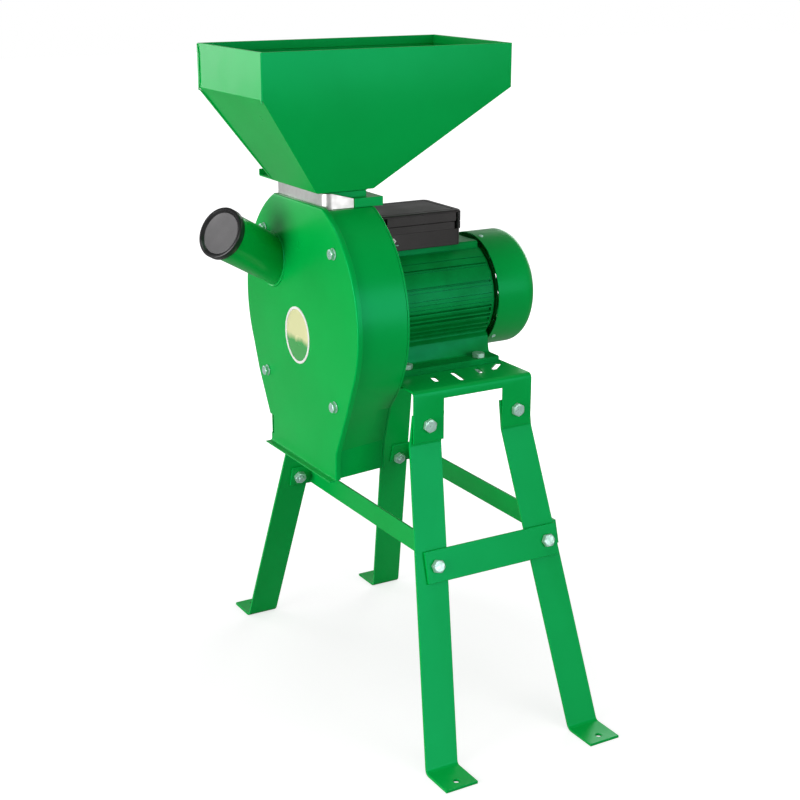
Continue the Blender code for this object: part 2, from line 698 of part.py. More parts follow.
def throat_box():
    """Feed duct between the gate and the casing, with the deeper box behind it that overhangs the casing."""
    low = SHELL_TOP + GAP
    x0, x1 = COVER_X + THROAT_FRONT, CASING_BACK + THROAT_REAR
    made = box("throat_box", (x0, -BASE_HALF - 0.001, low), (x1, BASE_HALF + 0.001, low + THROAT_HEIGHT))
    t = HOPPER_SHEET
    duct = box(
        "duct",
        (DUCT["x0"] - t, -DUCT["half"] - t, low),
        (DUCT["x1"] + t, DUCT["half"] + t, GATE_Z - GAP),
    )
    made = join(made, duct)
    bore = box("bore", (DUCT["x0"], -DUCT["half"], low - 0.01), (DUCT["x1"], DUCT["half"], GATE_Z + 0.01))
    under = box(
        "under",
        (DUCT["x1"] + 2 * t, -BASE_HALF + t, low - 0.01),
        (x1 - t, BASE_HALF - t, low + THROAT_HEIGHT - t),
    )
    return cut(made, bore, under)


def gate():
    """Slide plate that shuts the hopper's outlet, with its far edge turned up to pull on."""
    g = GATE_FREE
    end = BASE_HALF + GATE_TAIL
    path = [(-g["half"], GATE_Z), (end, GATE_Z), (end, GATE_Z + GATE_TAB)]
    outline = strip_outline(rounded(path, 0.0025, 2), GATE_SHEET)
    made = prism_x("slide_gate", outline, g["x0"], g["x1"])
    return place(made, (0, end, GATE_Z))


def inlet_tube():
    """Round inlet for roots and cobs, cut off flat where it meets the cover."""
    where = tube_frame()
    inner = TUBE_R - TUBE_SHEET
    made = turned(
        "inlet_tube",
        [(-0.06, TUBE_R), (TUBE_LENGTH, TUBE_R), (TUBE_LENGTH, inner), (-0.06, inner)],
        where,
        24,
        "green_paint",
    )
    behind = COVER_X - GAP
    return cut(made, box("behind", (behind, -0.1, AXIS_Z - 0.1), (behind + 0.2, 0.3, AXIS_Z + 0.3)))


def tube_plug():
    """Plug of the inlet: a rim over the tube's end and a recessed face."""
    end, inner = TUBE_LENGTH, TUBE_R - TUBE_SHEET - 2 * GAP
    skirt = TUBE_R + 2 * GAP
    profile = [
        (end - 0.003, 0.0002),
        (end - 0.003, inner - 0.0025),
        (end - 0.012, inner - 0.0025),
        (end - 0.012, inner),
        (end + GAP, inner),
        (end + GAP, skirt),
        (end - 0.007, skirt),
        (end - 0.007, PLUG_R),
        (PLUG_END, PLUG_R),
        (PLUG_END, PLUG_R - 0.004),
        (end, PLUG_R - 0.0065),
        (end, 0.0002),
    ]
    made = turned("tube_plug", profile, tube_frame(), 24, "black_plastic", tube=False)
    return place(made, tube_frame() @ Vector((end, 0, 0)))


def feed():
    hopper()
    neck_band()
    throat_box()
    gate()
    inlet_tube()
    tube_plug()


# ---------------------------------------------------------------- rotor
def rotor():
    """Shaft, core, hub with two discs, pins, hammers, nut and fan, all on the shaft's axis."""
    where = shaft_frame()
    hub_end = ROTOR_X + ROTOR_WIDTH
    nut_start = ROTOR_X - 0.010
    seat = BODY_X + 0.012
    shaft = turned(
        "motor_shaft",
        [
            (nut_start - 0.004, NUT_THREAD_R),
            (ROTOR_X, NUT_THREAD_R),
            (ROTOR_X, SHAFT_R),
            (seat, SHAFT_R),
            (seat, CORE_SHAFT_R),
            (BODY_END - 0.012, CORE_SHAFT_R),
            (BODY_END - 0.012, SHAFT_R),
            (COWL_X + 0.030, SHAFT_R),
        ],
        where,
        24,
        "steel",
        tube=False,
    )
    place(shaft, (ROTOR_X, 0, AXIS_Z))
    bore = SHAFT_R + 2 * GAP
    hub = turned(
        "rotor_hub",
        [
            (ROTOR_X, bore),
            (ROTOR_X, DISC_R),
            (ROTOR_X + DISC_SHEET, DISC_R),
            (ROTOR_X + DISC_SHEET, HUB_R),
            (hub_end - DISC_SHEET, HUB_R),
            (hub_end - DISC_SHEET, DISC_R),
            (hub_end, DISC_R),
            (hub_end, bore),
        ],
        where,
        32,
    )
    pins = [2 * pi * k / HAMMER_COUNT + pi / 4 for k in range(HAMMER_COUNT)]
    spots = [(PIN_CIRCLE * cos(a), AXIS_Z + PIN_CIRCLE * sin(a)) for a in pins]
    cut(hub, *[drill((ROTOR_X, y, z), (1, 0, 0), PIN_R + HOLE_PLAY, 0.06, 12) for y, z in spots])
    place(hub, (0, 0, 0), shaft)
    hub.location = -shaft.location
    for number, (angle, (y, z)) in enumerate(zip(pins, spots), 1):
        hammer_pin(number, y, z, shaft)
        hammer(number, angle, y, z, shaft)
    nut(nut_start, shaft)
    core = turned(
        "rotor_core",
        [
            (BODY_X + CORE_INSET, CORE_SHAFT_R + 2 * GAP),
            (BODY_X + CORE_INSET, CORE_R),
            (BODY_END - CORE_INSET, CORE_R),
            (BODY_END - CORE_INSET, CORE_SHAFT_R + 2 * GAP),
        ],
        where,
        24,
        "copper_iron",
    )
    ride_on(core, shaft)
    ride_on(fan(), shaft)


def ride_on(made, parent):
    """Parents an object whose mesh is in world places to a piece on the same joint."""
    made.parent = parent
    made.location = -parent.location


def hammer_pin(number, y, z, shaft):
    head, low, high = 0.0070, ROTOR_X - GAP, ROTOR_X + ROTOR_WIDTH + GAP
    profile = [
        (low - 0.003, head),
        (low, head),
        (low, PIN_R),
        (high, PIN_R),
        (high, head),
        (high + 0.0025, head),
    ]
    made = turned(f"hammer_pin_{number}", profile, frame_on((0, y, z), (1, 0, 0)), 12, "steel", tube=False)
    ride_on(made, shaft)


def hammer(number, angle, y, z, shaft):
    """Swinging hammer: a flat blade with a long boss that runs on its pin between the discs."""
    low, high = ROTOR_X + DISC_SHEET + GAP, ROTOR_X + ROTOR_WIDTH - DISC_SHEET - GAP
    where = frame_on((0, y, z), (1, 0, 0))
    made = turned(f"hammer_{number}", [(low, 0.0095), (high, 0.0095)], where, 16, "steel", tube=False)
    middle = (low + high) / 2
    half = HAMMER_WIDTH / 2
    corners = [(-0.002, -half + 0.003), (HAMMER_REACH, -half), (HAMMER_REACH, half), (-0.002, half - 0.003)]
    outline = [(y + r * cos(angle) - w * sin(angle), z + r * sin(angle) + w * cos(angle)) for r, w in corners]
    blade = prism_x("blade", outline, middle - HAMMER_SHEET / 2, middle + HAMMER_SHEET / 2)
    made = join(made, blade)
    made = cut(made, drill((low, y, z), (1, 0, 0), PIN_R + HOLE_PLAY, 0.06, 12))
    place(made, (middle, y, z))
    made.parent = shaft
    made.location = Vector((middle, y, z)) - shaft.location


def nut(start, shaft):
    where = shaft_frame()
    hexes, bore, washer = hexagon(0.022), circle(12, 0.0076), circle(12, 0.015)
    end = ROTOR_X - GAP
    layers = [(start, bore), (start, hexes), (end - 0.002, hexes), (end - 0.002, washer), (end, washer), (end, bore)]
    made = solid("shaft_nut", [[where @ Vector((s, u, v)) for u, v in ring] for s, ring in layers], "bolt_zinc", True)
    ride_on(made, shaft)


def fan():
    """Cooling fan: hub, disc and straight blades."""
    x0 = COWL_X + 0.006
    bore = SHAFT_R + 2 * GAP
    where = shaft_frame()
    made = turned(
        "cooling_fan",
        [(x0, bore), (x0, FAN_R), (x0 + 0.002, FAN_R), (x0 + 0.002, 0.018), (x0 + 0.016, 0.018), (x0 + 0.016, bore)],
        where,
        24,
        "black_plastic",
    )
    blades = []
    for k in range(8):
        a = 2 * pi * k / 8
        corners = [(0.0172, -0.001), (FAN_R - 0.001, -0.001), (FAN_R - 0.001, 0.001), (0.0172, 0.001)]
        outline = [(r * cos(a) - w * sin(a), AXIS_Z + r * sin(a) + w * cos(a)) for r, w in corners]
        blades.append(prism_x("blade", outline, x0 + 0.001, x0 + 0.015))
    return join(made, *blades)


# ---------------------------------------------------------------- motor
def motor_housing():
    """Extruded body with cooling fins and two feet, bored through for the stator."""
    outline = []
    for i in range(FIN_COUNT):
        a = 2 * pi * i / FIN_COUNT
        step = 2 * pi / FIN_COUNT
        for turn, depth in ((-0.18, 0), (0.18, 0), (0.34, 1), (0.66, 1)):
            r = BODY_R - depth * FIN_DEPTH
            outline.append((r * cos(a + turn * step), AXIS_Z + r * sin(a + turn * step)))
    made = prism_x("motor_housing", outline, BODY_X, BODY_END)
    others = []
    floor = TABLE_Z + GAP
    for side_y in (-1, 1):
        foot = [
            (0.59 * BODY_R, AXIS_Z - 0.615 * BODY_R),
            (0.86 * BODY_R, AXIS_Z - 0.72 * BODY_R),
            (FOOT_BOLT_Y - 0.015, floor + FOOT_SHEET + 0.003),
            (FOOT_BOLT_Y - 0.012, floor + FOOT_SHEET),
            (FOOT_SPAN, floor + FOOT_SHEET),
            (FOOT_SPAN, floor),
            (0.64 * BODY_R, floor),
            (0.51 * BODY_R, floor + 0.012),
            (0.385 * BODY_R, AXIS_Z - 0.77 * BODY_R),
        ]
        others.append(prism_x("foot", [(side_y * y, z) for y, z in foot], BODY_X, BODY_END))
    pad = AXIS_Z + BOX_Z - GAP
    others.append(box("pad", (BOX_X0 + 0.012, -0.036, AXIS_Z + BORE_R + 0.002), (BOX_X1 - 0.006, 0.036, pad)))
    made = join(made, *others)
    cutters = [drill((BODY_X, 0, AXIS_Z), (1, 0, 0), BORE_R + GAP * 2, 0.3, 32)]
    for side_x in (-1, 1):
        for side_y in (-1, 1):
            spot = (side_x * FOOT_BOLT_X, side_y * FOOT_BOLT_Y, floor)
            cutters.append(hole_for(spot, (0, 0, 1), M10, LONG_CUT))
    return cut(made, *cutters)


def end_shield(name, face, inward, out):
    """Shield against one end of the body, with a spigot in its bore and a pocket for a bearing."""
    where = frame_on((face, 0, AXIS_Z), (inward, 0, 0))
    pocket = BEARING_R + 2 * GAP
    profile = [
        (-out, SHAFT_R + 0.0015),
        (-out, BODY_R - 0.012),
        (-out + 0.004, BODY_R - 0.002),
        (-GAP, BODY_R - 0.002),
        (-GAP, BORE_R - 2 * GAP),
        (0.008, BORE_R - 2 * GAP),
        (0.008, BORE_R - 0.006),
        (0.002, BORE_R - 0.008),
        (0.002, pocket + 0.005),
        (0.012, pocket + 0.005),
        (0.012, pocket),
        (-0.003, pocket),
        (-0.003, SHAFT_R + 0.0015),
    ]
    return turned(name, profile, where, 24, "green_paint")


def bearing(name, x0):
    inner = SHAFT_R + 2 * GAP
    profile = [(x0, inner), (x0, BEARING_R), (x0 + BEARING_WIDTH, BEARING_R), (x0 + BEARING_WIDTH, inner)]
    return turned(name, profile, shaft_frame(), 24, "steel")


def stator():
    """Laminated ring with its winding ends standing out at each side."""
    x0, x1 = BODY_X + CORE_INSET, BODY_END - CORE_INSET
    low, high = BORE_R - 0.021, BORE_R - 0.006
    inner = CORE_R + AIR_GAP
    profile = [
        (x0, inner),
        (x0, low),
        (x0 - WINDING_END, low),
        (x0 - WINDING_END, high),
        (x0, high),
        (x0, BORE_R - GAP),
        (x1, BORE_R - GAP),
        (x1, high),
        (x1 + WINDING_END, high),
        (x1 + WINDING_END, low),
        (x1, low),
        (x1, inner),
    ]
    return turned("stator", profile, shaft_frame(), 24, "copper_iron")


def fan_cowl():
    """Pressed cover over the fan: open towards the motor, rounded at the back, with air slots."""
    x0, x1, t, c = COWL_X, COWL_X + COWL_LENGTH, COWL_SHEET, COWL_CORNER
    arc = [radians(22.5 * i) for i in range(5)]
    outer = [(x1 - c + c * sin(a), COWL_R - c + c * cos(a)) for a in arc]
    inner = [(x1 - c + (c - t) * sin(a), COWL_R - c + (c - t) * cos(a)) for a in arc]
    profile = [(x0, COWL_R)] + outer + [(x1, 0.010), (x1 - t, 0.010)] + inner[::-1] + [(x0, COWL_R - t)]
    made = turned("fan_cowl", profile, shaft_frame(), 32, "green_paint")
    slots = []
    for k in range(12):
        a = 2 * pi * (k + 0.5) / 12
        end = COWL_R - 0.022
        corners = [(0.024, -0.003), (end, -0.005), (end, 0.005), (0.024, 0.003)]
        outline = [(r * cos(a) - w * sin(a), AXIS_Z + r * sin(a) + w * cos(a)) for r, w in corners]
        slots.append(prism_x("slot", outline, x1 - 0.01, x1 + 0.01))
    return cut(made, *slots)


def box_outline(inset, corner, steps=3):
    """Rounded rectangle of the terminal box, seen from above."""
    x0, x1, y1 = BOX_X0 + inset, BOX_X1 - inset, BOX_HALF - inset
    points = []
    for cx, cy, turn in ((x1, y1, 0), (x0, y1, 90), (x0, -y1, 180), (x1, -y1, 270)):
        mx = cx - corner if cx > 0 else cx + corner
        my = cy - corner if cy > 0 else cy + corner
        for i in range(steps + 1):
            a = radians(turn + 90 * i / steps)
            points.append((mx + corner * cos(a), my + corner * sin(a)))
    return points


def terminal_box():
    """Plastic box on the motor: open base, overhanging lid, and the starting capacitor inside."""
    z0 = AXIS_Z + BOX_Z
    z1 = z0 + BOX_BASE_HEIGHT
    z2 = z1 + BOX_LID_HEIGHT
    outer, inner = box_outline(0.0015, 0.006), box_outline(BOX_WALL + 0.0015, 0.003)
    rings = [
        [(x, y, z) for x, y in ring]
        for z, ring in ((z0, outer), (z1, outer), (z1, inner), (z0 + BOX_WALL, inner))
    ]
    base = solid("terminal_box_base", rings, "black_plastic")
    gland_x = BOX_X0 + 0.022
    cut(base, drill((gland_x, -BOX_HALF, z0 + 0.016), (0, 1, 0), 0.0072, 0.02, 12))
    lid_in = box_outline(BOX_WALL, 0.003)
    low = z1 + GAP
    rings = [
        [(x, y, z) for x, y in ring]
        for z, ring in (
            (low, box_outline(0, 0.008)),
            (z2 - 0.002, box_outline(0, 0.008)),
            (z2, box_outline(0.002, 0.008)),
        )
    ]
    lid = solid("terminal_box_lid", rings, "black_plastic")
    hollow = solid("hollow", [[(x, y, z) for x, y in lid_in] for z in (low - 0.01, z2 - 0.003)])
    cut(lid, hollow)
    middle = (BOX_X0 + BOX_X1) / 2 + 0.008
    where = frame_on((middle - CAPACITOR_LENGTH / 2, 0.016, z0 + BOX_WALL + CAPACITOR_R + GAP), (1, 0, 0))
    profile = [(0, CAPACITOR_R), (CAPACITOR_LENGTH, CAPACITOR_R)]
    turned("capacitor", profile, where, 16, "white_plastic", tube=False)
    gland = frame_on((gland_x, -BOX_HALF + 0.0015, z0 + 0.016), (0, -1, 0))
    profile = [(-0.010, 0.0040), (-0.010, 0.0066), (GAP, 0.0066), (GAP, 0.0090), (0.009, 0.0075), (0.009, 0.0040)]
    turned("cable_gland", profile, gland, 12, "white_plastic")


def motor():
    motor_housing()
    end_shield("front_shield", BODY_X, 1, BODY_START - BACK_SHEET - GAP)
    end_shield("rear_shield", BODY_END, -1, SHIELD)
    bearing("front_bearing", BODY_X - 0.003 + GAP)
    bearing("rear_bearing", BODY_END + 0.003 - GAP - BEARING_WIDTH)
    stator()
    fan_cowl()
    terminal_box()
    names = {(-1, 1): "front_left", (-1, -1): "front_right", (1, 1): "rear_left", (1, -1): "rear_right"}
    for (side_x, side_y), where in names.items():
        spot = (side_x * FOOT_BOLT_X, side_y * FOOT_BOLT_Y, TABLE_Z + GAP + FOOT_SHEET)
        bolt("motor_bolt_" + where, spot, (0, 0, -1), FOOT_SHEET + GAP + TABLE_SHEET, M10)


def centre_on_origin():
    """Moves every piece that has no parent, so that the whole machine is centred along X."""
    for made in bpy.context.scene.objects:
        if made.parent is None:
            made.location.x += SHIFT


def main():
    clear_scene()
    stand()
    casing()
    feed()
    rotor()
    motor()
    centre_on_origin()
    for made in bpy.context.scene.objects:
        made.data.shade_smooth()
        made.data.set_sharp_from_angle(angle=radians(30))
    bpy.context.view_layer.update()


main()
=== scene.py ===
"""Finishes, fittings and studio for a feed hammer mill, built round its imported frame."""

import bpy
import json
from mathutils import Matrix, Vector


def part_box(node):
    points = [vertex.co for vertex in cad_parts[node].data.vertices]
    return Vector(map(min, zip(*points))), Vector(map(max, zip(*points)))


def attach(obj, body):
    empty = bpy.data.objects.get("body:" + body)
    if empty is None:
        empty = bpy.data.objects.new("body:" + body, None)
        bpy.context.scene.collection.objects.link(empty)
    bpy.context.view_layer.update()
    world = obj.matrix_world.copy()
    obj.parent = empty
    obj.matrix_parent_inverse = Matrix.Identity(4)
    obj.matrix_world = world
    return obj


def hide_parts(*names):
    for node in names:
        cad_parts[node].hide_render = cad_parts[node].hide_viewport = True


bl_info = {
    "name": "Feed hammer mill",
    "version": (1, 0, 0),
    "blender": (4, 5, 0),
    "location": "3D View > Sidebar > Mill",
    "description": "Detailed surfaces, finishes and a studio for a feed hammer mill",
    "category": "Object",
}

import json
from math import cos, pi, radians, sin

import bmesh
import bpy
import numpy as np
from bpy.props import FloatProperty, FloatVectorProperty, IntProperty, PointerProperty
from bpy.types import NodeSocket, Operator, Panel, PropertyGroup
from mathutils import Matrix, Vector
from mathutils.geometry import tessellate_polygon

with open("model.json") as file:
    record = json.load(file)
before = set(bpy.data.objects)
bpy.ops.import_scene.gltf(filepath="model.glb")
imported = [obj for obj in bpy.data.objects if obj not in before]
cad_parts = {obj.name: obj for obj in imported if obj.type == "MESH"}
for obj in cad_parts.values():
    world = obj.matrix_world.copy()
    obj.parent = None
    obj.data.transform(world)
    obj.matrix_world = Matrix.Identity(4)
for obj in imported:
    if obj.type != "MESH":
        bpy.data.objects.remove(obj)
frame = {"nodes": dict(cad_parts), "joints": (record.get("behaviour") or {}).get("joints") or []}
bpy.context.view_layer.update()
NODES = frame["nodes"]
JOINTS = {joint["name"]: joint for joint in frame["joints"]}

# ---------------------------------------------------------------- places read from the frame
AXIS_Z = sum(corner.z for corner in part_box("motor_shaft")) / 2
COVER_LOW, COVER_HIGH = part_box("cover")
BODY_LOW, BODY_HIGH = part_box("motor_housing")
COWL_LOW, COWL_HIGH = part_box("fan_cowl")
BASE_LOW, BASE_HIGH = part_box("terminal_box_base")
LID_LOW, LID_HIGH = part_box("terminal_box_lid")
HOPPER_LOW, HOPPER_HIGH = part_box("hopper")
LIP_REACH = 0.009  # how far the cover's bottom lip stands in front of the cover
FOOT_OUT = 0.020  # how far a motor foot stands out past the body
COVER_FACE = COVER_LOW.x + LIP_REACH
BODY_R = BODY_HIGH.y - FOOT_OUT
COWL_R = COWL_HIGH.y
SMOOTH_ANGLE = radians(34)
FLAT_ANGLE = radians(0.5)
WELD = 1e-6  # distance under which points are one


# ---------------------------------------------------------------- what a user may change
def length(name, description, default, low, high):
    return FloatProperty(name=name, description=description, default=default, min=low, max=high, unit="LENGTH")


class MillSizes(PropertyGroup):
    """Sizes of the fittings and details."""

    frame_bolt: length("Frame bolt", "Width across the flats of the bolts of stand and motor", 0.017, 0.010, 0.022)
    cover_bolt: length("Cover bolt", "Width across the flats of the four cover bolts", 0.013, 0.008, 0.016)
    chamfer: FloatProperty(
        name="Head chamfer", description="Share of a head's half width that stays flat on top",
        default=0.90, min=0.7, max=1.0, subtype="FACTOR")
    fold: length("Sheet edge", "Rounding of the cut and folded edges of the sheet pieces", 0.0007, 0.0002, 0.002)
    fin_depth: length("Fin depth", "Depth of the deepest cooling grooves of the motor body", 0.0062, 0.002, 0.009)
    lip_width: length("Hopper lip", "Width of the folded corner lips on the hopper", 0.0095, 0.004, 0.015)
    badge_width: length("Badge width", "Width of the oval plate on the cover", 0.074, 0.04, 0.09)
    badge_height: length("Badge height", "Height of the oval plate on the cover", 0.081, 0.04, 0.10)
    bead: length("Weld bead", "Radius of the weld round the inlet", 0.0021, 0.001, 0.004)
    turns: IntProperty(
        name="Facets", description="Facets round the large turned pieces", default=96, min=48, max=144)


def colour(name, description, default):
    return FloatVectorProperty(name=name, description=description, default=default,
                               size=3, min=0.0, max=1.0, subtype="COLOR")


class MillColours(PropertyGroup):
    """Colours of the finishes, as linear values."""

    paint: colour("Powder coat", "Glossy green of the sheet pieces", (0.0, 0.40, 0.058))
    paint_deep: colour("Powder coat, thick", "Green where the coat lies thicker", (0.0, 0.365, 0.050))
    # Lighter mint green along edges: a painted edge highlight as well as edge wear.
    paint_edge_highlight_and_wear: colour("Powder coat, edge", "Lighter green along edges", (0.02, 0.62, 0.26))
    motor: colour("Motor enamel", "Sprayed green of the motor body", (0.0, 0.31, 0.050))
    motor_deep: colour("Motor enamel, thick", "Green in the hollows of the motor body", (0.0, 0.22, 0.030))
    zinc: colour("Zinc sheet", "Bare galvanised sheet", (0.80, 0.79, 0.79))
    # The mint in the plating colour is a painted reflection of the green paint round the bolts.
    plating: colour("Zinc plating", "Plated bolts, nuts and washers", (0.62, 0.95, 0.83))
    black: colour("Black plastic", "Terminal box", (0.024, 0.020, 0.020))
    rim: colour("Plug rim", "Gloss black rim of the plug", (0.012, 0.012, 0.013))
    face: colour("Plug face", "Dull grey face of the plug", (0.135, 0.13, 0.135))
    white: colour("White plastic", "Capacitor, lead nipple and badge rim", (0.82, 0.82, 0.79))
    iron: colour("Iron", "Stator and rotor core", (0.20, 0.14, 0.10))
    steel: colour("Steel", "Shaft, hammers and pins", (0.50, 0.50, 0.51))
    badge_high: colour("Badge, upper", "Upper field of the plain badge", (0.72, 0.72, 0.38))
    badge_low: colour("Badge, lower", "Lower field of the plain badge", (0.05, 0.36, 0.08))
    floor: colour("Studio floor", "Pale floor", (0.42, 0.42, 0.42))


# ---------------------------------------------------------------- surfaces
def grid_faces(rows, columns, closed=True, skip=None):
    """Quads of a grid of points numbered row by row; closed joins the last column to the first."""
    across = columns if closed else columns - 1
    i, j = np.meshgrid(np.arange(rows - 1), np.arange(across), indexing="ij")
    a, b = i * columns + j, i * columns + (j + 1) % columns
    faces = np.stack([a, b, b + columns, a + columns], axis=-1)
    if skip is not None:
        return faces[~skip]
    return faces.reshape(-1, 4)


def sheet(points, closed=False, skip=None):
    """Surface part from an array of points, rows by columns by three."""
    rows, columns, _ = points.shape
    return points.reshape(-1, 3), grid_faces(rows, columns, closed, skip).tolist()


def loft(rings):
    """Closed solid through rings with the same count of points: sides as a grid, first and last ring as flat ends."""
    rings = np.asarray(rings, float)
    rows, columns, _ = rings.shape
    ends = [list(range(columns))[::-1], list(range((rows - 1) * columns, rows * columns))]
    return rings.reshape(-1, 3), grid_faces(rows, columns).tolist() + ends


def basis(axis):
    """The axis as a unit vector, and two unit vectors square to it and to each other."""
    axis = np.asarray(axis, float) / np.linalg.norm(axis)
    helper = np.array((0.0, 0.0, 1.0)) if abs(axis[2]) < 0.9 else np.array((1.0, 0.0, 0.0))
    side = np.cross(helper, axis)
    side /= np.linalg.norm(side)
    return axis, side, np.cross(axis, side)


def around(turns):
    """Evenly spaced angles of one full turn."""
    return np.arange(turns) * 2 * pi / turns


def round_axis(origin, axis, along, out):
    """Points at a distance along an axis and a distance out from it, one column for each angle of a full turn."""
    axis, side, up = basis(axis)
    angle = around(out.shape[1])
    return (np.asarray(origin, float) + along[..., None] * axis + (out * np.cos(angle))[..., None] * side
            + (out * np.sin(angle))[..., None] * up)


def polar(radius, angle):
    """Pairs of (across, up) from radius and angle."""
    return np.stack([radius * np.cos(angle), radius * np.sin(angle)], axis=-1)


def turned(profile, origin, axis, turns=48):
    """Profile of (along, radius) pairs carried round an axis."""
    profile = np.asarray(profile, float)
    return sheet(round_axis(origin, axis, profile[:, :1], profile[:, 1:] * np.ones(turns)), closed=True)


def upright(x, outline):
    """Outline of (y, height over the shaft) pairs, stood up at one x."""
    return np.stack([np.full(len(outline), x), outline[:, 0], AXIS_Z + outline[:, 1]], axis=-1)


def carried(path, section):
    """Section of (u, v) offsets carried along a closed path of points: u lies along each point's side vector and
    v along up. path holds place, side and up arrays of one length."""
    place, side, up = path
    points = (place[:, None, :] + section[None, :, 0, None] * side[:, None, :]
              + section[None, :, 1, None] * up[:, None, :])
    return sheet(np.concatenate([points, points[:1]]), closed=True)


def rounded_box(x0, x1, y0, y1, corner, z, steps=6):
    """Ring of a rounded rectangle at one height: quarter circles round its four corner centres."""
    turn = np.linspace(0, pi / 2, steps + 1)
    quarter = [turn + k * pi / 2 for k in range(4)]
    centres = [(x1 - corner, y1 - corner), (x0 + corner, y1 - corner),
               (x0 + corner, y0 + corner), (x1 - corner, y0 + corner)]
    rings = [np.stack([cx + corner * np.cos(a), cy + corner * np.sin(a), np.full_like(a, z)], axis=-1)
             for (cx, cy), a in zip(centres, quarter)]
    return np.concatenate(rings)


def tidy(part):
    """Joins doubled points of one part and turns its faces outwards."""
    points, faces = part
    shape = bmesh.new()
    corners = [shape.verts.new(p) for p in points]
    for face in faces:
        used = list(dict.fromkeys(face))
        if len(used) > 2:
            shape.faces.new([corners[k] for k in used])
    bmesh.ops.remove_doubles(shape, verts=shape.verts, dist=WELD)
    bmesh.ops.recalc_face_normals(shape, faces=shape.faces)
    return shape


def piece(name, parts, finish, body, slot, stands_for=(), smooth=SMOOTH_ANGLE):
    """Makes one object from its parts, rides it on its body and hides the nodes it stands for; the slot is not used."""
    mesh = bpy.data.meshes.new(name)
    whole = bmesh.new()
    for part in parts:
        shape = tidy(part)
        scratch = bpy.data.meshes.new("scratch")
        shape.to_mesh(scratch)
        shape.free()
        whole.from_mesh(scratch)
        bpy.data.meshes.remove(scratch)
    whole.to_mesh(mesh)
    whole.free()
    mesh.shade_smooth()
    mesh.set_sharp_from_angle(angle=smooth)
    made = bpy.data.objects.new(name, mesh)
    bpy.context.scene.collection.objects.link(made)
    mesh.materials.append(bpy.data.materials[finish])
    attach(made, body)
    if stands_for:
        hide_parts(*stands_for)
    return made


COAT = ("Powder coat", "machine", "green_paint")
PLATED = ("Zinc plating", "machine", "bolt_zinc")
BLACK = ("Black plastic", "machine", "black_plastic")
WHITE = ("White plastic", "machine", "white_plastic")


def round_edges(made, width, segments=2, angle=radians(30)):
    """Rounds the edges that turn by more than the angle."""
    bevel = made.modifiers.new("Rounded edges", "BEVEL")
    bevel.width, bevel.segments = width, segments
    bevel.limit_method, bevel.angle_limit = "ANGLE", angle
    bevel.use_clamp_overlap = False
    bevel.harden_normals = True


def walled(made, thickness, edge):
    """Gives an open surface its wall, inwards, and rounds the edges."""
    wall = made.modifiers.new("Wall", "SOLIDIFY")
    wall.thickness, wall.offset, wall.use_even_offset = thickness, -1.0, True
    round_edges(made, edge, 2, radians(50))


def node_points(node):
    """Different points of a frame node's mesh, as an array."""
    mesh = NODES[node].data
    points = np.empty(len(mesh.vertices) * 3, np.float32)
    mesh.vertices.foreach_get("co", points)
    return np.unique(np.round(points.reshape(-1, 3).astype(float), 5), axis=0)


# ---------------------------------------------------------------- shader groups
def add(tree, kind, inputs=None, **settings):
    """Adds one node, with sockets linked or values as its inputs."""
    made = tree.nodes.new(kind)
    for key, value in settings.items():
        setattr(made, key, value)
    for key, value in (inputs or {}).items():
        if isinstance(value, NodeSocket):
            tree.links.new(value, made.inputs[key])
        else:
            made.inputs[key].default_value = value
    return made


def noise(tree, place, scale, detail):
    """Noise from 0 to 1."""
    return add(tree, "ShaderNodeTexNoise", {"Vector": place, "Scale": scale, "Detail": detail}).outputs["Fac"]


def ranged(tree, value, low, high, to_low=0.0, to_high=1.0):
    """A value brought from one range to another and held inside it."""
    return add(tree, "ShaderNodeMapRange", {"Value": value, "From Min": low, "From Max": high,
                                            "To Min": to_low, "To Max": to_high}).outputs[0]


def mixed(tree, factor, first, second):
    """Colour between two colours."""
    return add(tree, "ShaderNodeMix", {"Factor": factor, "A": first, "B": second}, data_type="RGBA").outputs["Result"]


def reckon(tree, operation, *values, clamp=False):
    """One sum of one to three values."""
    return add(tree, "ShaderNodeMath", dict(enumerate(values)), operation=operation, use_clamp=clamp).outputs[0]


def shader_group(name, inputs, outputs):
    """Empty shader group with its named inputs and outputs."""
    tree = bpy.data.node_groups.new(name, "ShaderNodeTree")
    for label, kind, value in (("Vector", "Vector", None), *inputs):
        socket = tree.interface.new_socket(name=label, in_out="INPUT", socket_type="NodeSocket" + kind)
        if value is not None:
            socket.default_value = value
    for label, kind in outputs:
        tree.interface.new_socket(name=label, in_out="OUTPUT", socket_type="NodeSocket" + kind)
    return tree, tree.nodes.new("NodeGroupInput").outputs, tree.nodes.new("NodeGroupOutput").inputs


def give(tree, result, **values):
    """Links values to a group's outputs and returns the group."""
    for label, value in values.items():
        tree.links.new(value, result[label])
    return tree


WHITE_VALUE = (1, 1, 1, 1)
SKIN_OUTPUTS = [("Colour", "Color"), ("Roughness", "Float"), ("Height", "Float")]


def coat_group():
    """Sprayed or moulded skin: slow colour patches, fine peel in the height, and roughness that wanders a little."""
    tree, given, result = shader_group(
        "Coat skin",
        [("Base", "Color", WHITE_VALUE), ("Deep", "Color", WHITE_VALUE), ("Patch scale", "Float", 9.0),
         ("Peel scale", "Float", 420.0), ("Low roughness", "Float", 0.25), ("High roughness", "Float", 0.4)],
        SKIN_OUTPUTS)
    place = given["Vector"]
    patch = ranged(tree, noise(tree, place, given["Patch scale"], 3.0), 0.35, 0.68)
    smear = noise(tree, place, 24.0, 1.0)
    return give(tree, result, Colour=mixed(tree, patch, given["Base"], given["Deep"]),
                Roughness=ranged(tree, smear, 0.15, 0.85, given["Low roughness"], given["High roughness"]),
                Height=noise(tree, place, given["Peel scale"], 2.5))


